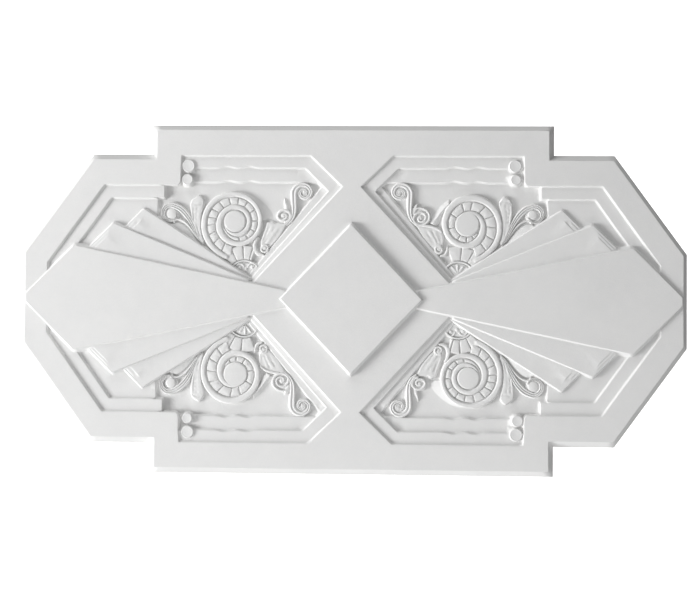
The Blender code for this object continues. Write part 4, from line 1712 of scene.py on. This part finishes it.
@dataclass(frozen=True)
class Backcloth:
    """A bright, even white sheet that stands far behind the panel."""

    glow: float = 1.06

    def material(self) -> bpy.types.Material:
        """Makes a white that gives its own light."""
        graph = Graph("backcloth_white")
        shader = graph.node("ShaderNodeBsdfPrincipled",
                            inputs={"Base Color": (1.0, 1.0, 1.0, 1.0), "Roughness": 0.9,
                                    "Emission Color": (1.0, 1.0, 1.0, 1.0),
                                    "Emission Strength": self.glow})
        graph.node("ShaderNodeOutputMaterial", inputs={"Surface": shader})
        return graph.material


@dataclass(frozen=True)
class FloorPaint:
    """A pale matt floor."""

    colour: tuple[float, float, float, float] = (0.86, 0.86, 0.86, 1.0)

    def material(self) -> bpy.types.Material:
        """Makes a pale paint with faint unevenness."""
        graph = Graph("floor_pale")
        place = graph.node("ShaderNodeTexCoord", output="Object")
        cloud = Plaster.noise(graph, place, 3.0, 3.0, 0.5)
        colour = Plaster.mix(graph, cloud, (0.82, 0.82, 0.82, 1.0), self.colour)
        shader = graph.node("ShaderNodeBsdfPrincipled", inputs={"Base Color": colour,
                                                                "Roughness": 0.7})
        graph.node("ShaderNodeOutputMaterial", inputs={"Surface": shader})
        return graph.material


@dataclass(frozen=True)
class Lamp:
    """A square soft light that faces the centre of the panel."""

    name: str
    place: tuple[float, float, float]
    size: float
    power: float

    def build(self) -> None:
        """Adds the light."""
        lamp = bpy.data.lights.new(self.name, "AREA")
        lamp.shape = "SQUARE"
        lamp.size = self.size
        lamp.energy = self.power
        holder = bpy.data.objects.new(self.name, lamp)
        holder.location = self.place
        holder.rotation_euler = (-Vector(self.place)).to_track_quat("-Z", "Y").to_euler()
        bpy.context.scene.collection.objects.link(holder)


@dataclass
class Studio:
    """The floor, the backcloth, the lights and the camera."""

    floor_level: float = -1.750
    floor_half: float = 4.0
    cloth_distance: float = 3.2
    cloth_half: float = 2.15
    cloth_height: float = 3.6
    camera_place: tuple[float, float, float] = (0.04849, -1.75376, -0.03578)
    camera_turn: tuple[float, float, float] = (91.143, -0.448, 1.651)
    lens_length: float = 50.0
    sensor_width: float = 36.0
    farthest: float = 50.0
    lamps: tuple[Lamp, ...] = (Lamp("key_light", (-4.6, -1.95, -0.80), 1.6, 226.0),
                               Lamp("top_light", (-0.9, -0.95, 2.4), 1.0, 22.0),
                               Lamp("low_light", (0.25, -0.75, -1.6), 0.6, 6.0),
                               Lamp("back_light", (1.2, 2.4, 1.4), 1.5, 19.0))
    ambient: float = 0.235

    def build(self) -> None:
        """Makes everything that is not part of the object."""
        half, z = self.floor_half, self.floor_level
        floor = self.sheet("studio_floor", (-half, -half, z), (2 * half, 0.0, 0.0),
                           (0.0, 2 * half, 0.0), FloorPaint().material())
        cloth = self.sheet("studio_backcloth", (-self.cloth_half, self.cloth_distance, z),
                           (2 * self.cloth_half, 0.0, 0.0), (0.0, 0.0, self.cloth_height),
                           Backcloth().material())
        self.lights()
        self.camera()

    @staticmethod
    def sheet(name: str, corner: Sequence[float], along: Sequence[float], up: Sequence[float],
              material: bpy.types.Material) -> bpy.types.Object:
        """Makes a flat sheet.

        Args:
            name: the sheet's name.
            corner: the place of one corner.
            along: one side from that corner.
            up: the other side from it.
            material: its paint.

        Returns:
            The sheet, with four corners and one face.
        """
        u, v = np.meshgrid([0.0, 1.0], [0.0, 1.0])
        grid = (np.array(corner) + u.ravel()[:, None] * np.array(along)
                + v.ravel()[:, None] * np.array(up))
        mesh = bpy.data.meshes.new(name)
        mesh.from_pydata(grid.tolist(), [], [(0, 1, 3, 2)])
        mesh.materials.append(material)
        piece = bpy.data.objects.new(name, mesh)
        bpy.context.scene.collection.objects.link(piece)
        return piece

    def lights(self) -> None:
        """Adds the raking key, weak lights all round and the even surroundings."""
        for lamp in self.lamps:
            lamp.build()
        world = bpy.data.worlds.new("studio_surroundings")
        world.use_nodes = True
        ground = world.node_tree.nodes["Background"]
        ground.inputs["Color"].default_value = (1.0, 1.0, 1.0, 1.0)
        ground.inputs["Strength"].default_value = self.ambient
        bpy.context.scene.world = world
        bpy.context.scene.view_settings.view_transform = "Standard"

    def camera(self) -> None:
        """Places the camera where the photograph was taken from."""
        lens = bpy.data.cameras.new("photo_camera")
        lens.lens = self.lens_length
        lens.sensor_width = self.sensor_width
        lens.clip_end = self.farthest
        holder = bpy.data.objects.new("photo_camera", lens)
        holder.location = self.camera_place
        holder.rotation_euler = [math.radians(a) for a in self.camera_turn]
        bpy.context.scene.collection.objects.link(holder)
        bpy.context.scene.camera = holder


def main() -> None:
    """Builds the casting and the studio, and reports each piece."""
    logging.basicConfig(level=logging.INFO, format="%(name)s: %(message)s")
    low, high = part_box(NODE)
    LOG.info("node %s runs from %s to %s", NODE, list(low), list(high))
    casting = Casting(Sculptor(Panel())).build(Plaster().material())
    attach(casting, "root")
    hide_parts(NODE)
    LOG.info("%s: %d points, %d faces", casting.name, len(casting.data.vertices),
             len(casting.data.polygons))
    Studio().build()
    LOG.info("studio: floor, backcloth, four lights and camera")


if __name__ == "__main__":
    main()
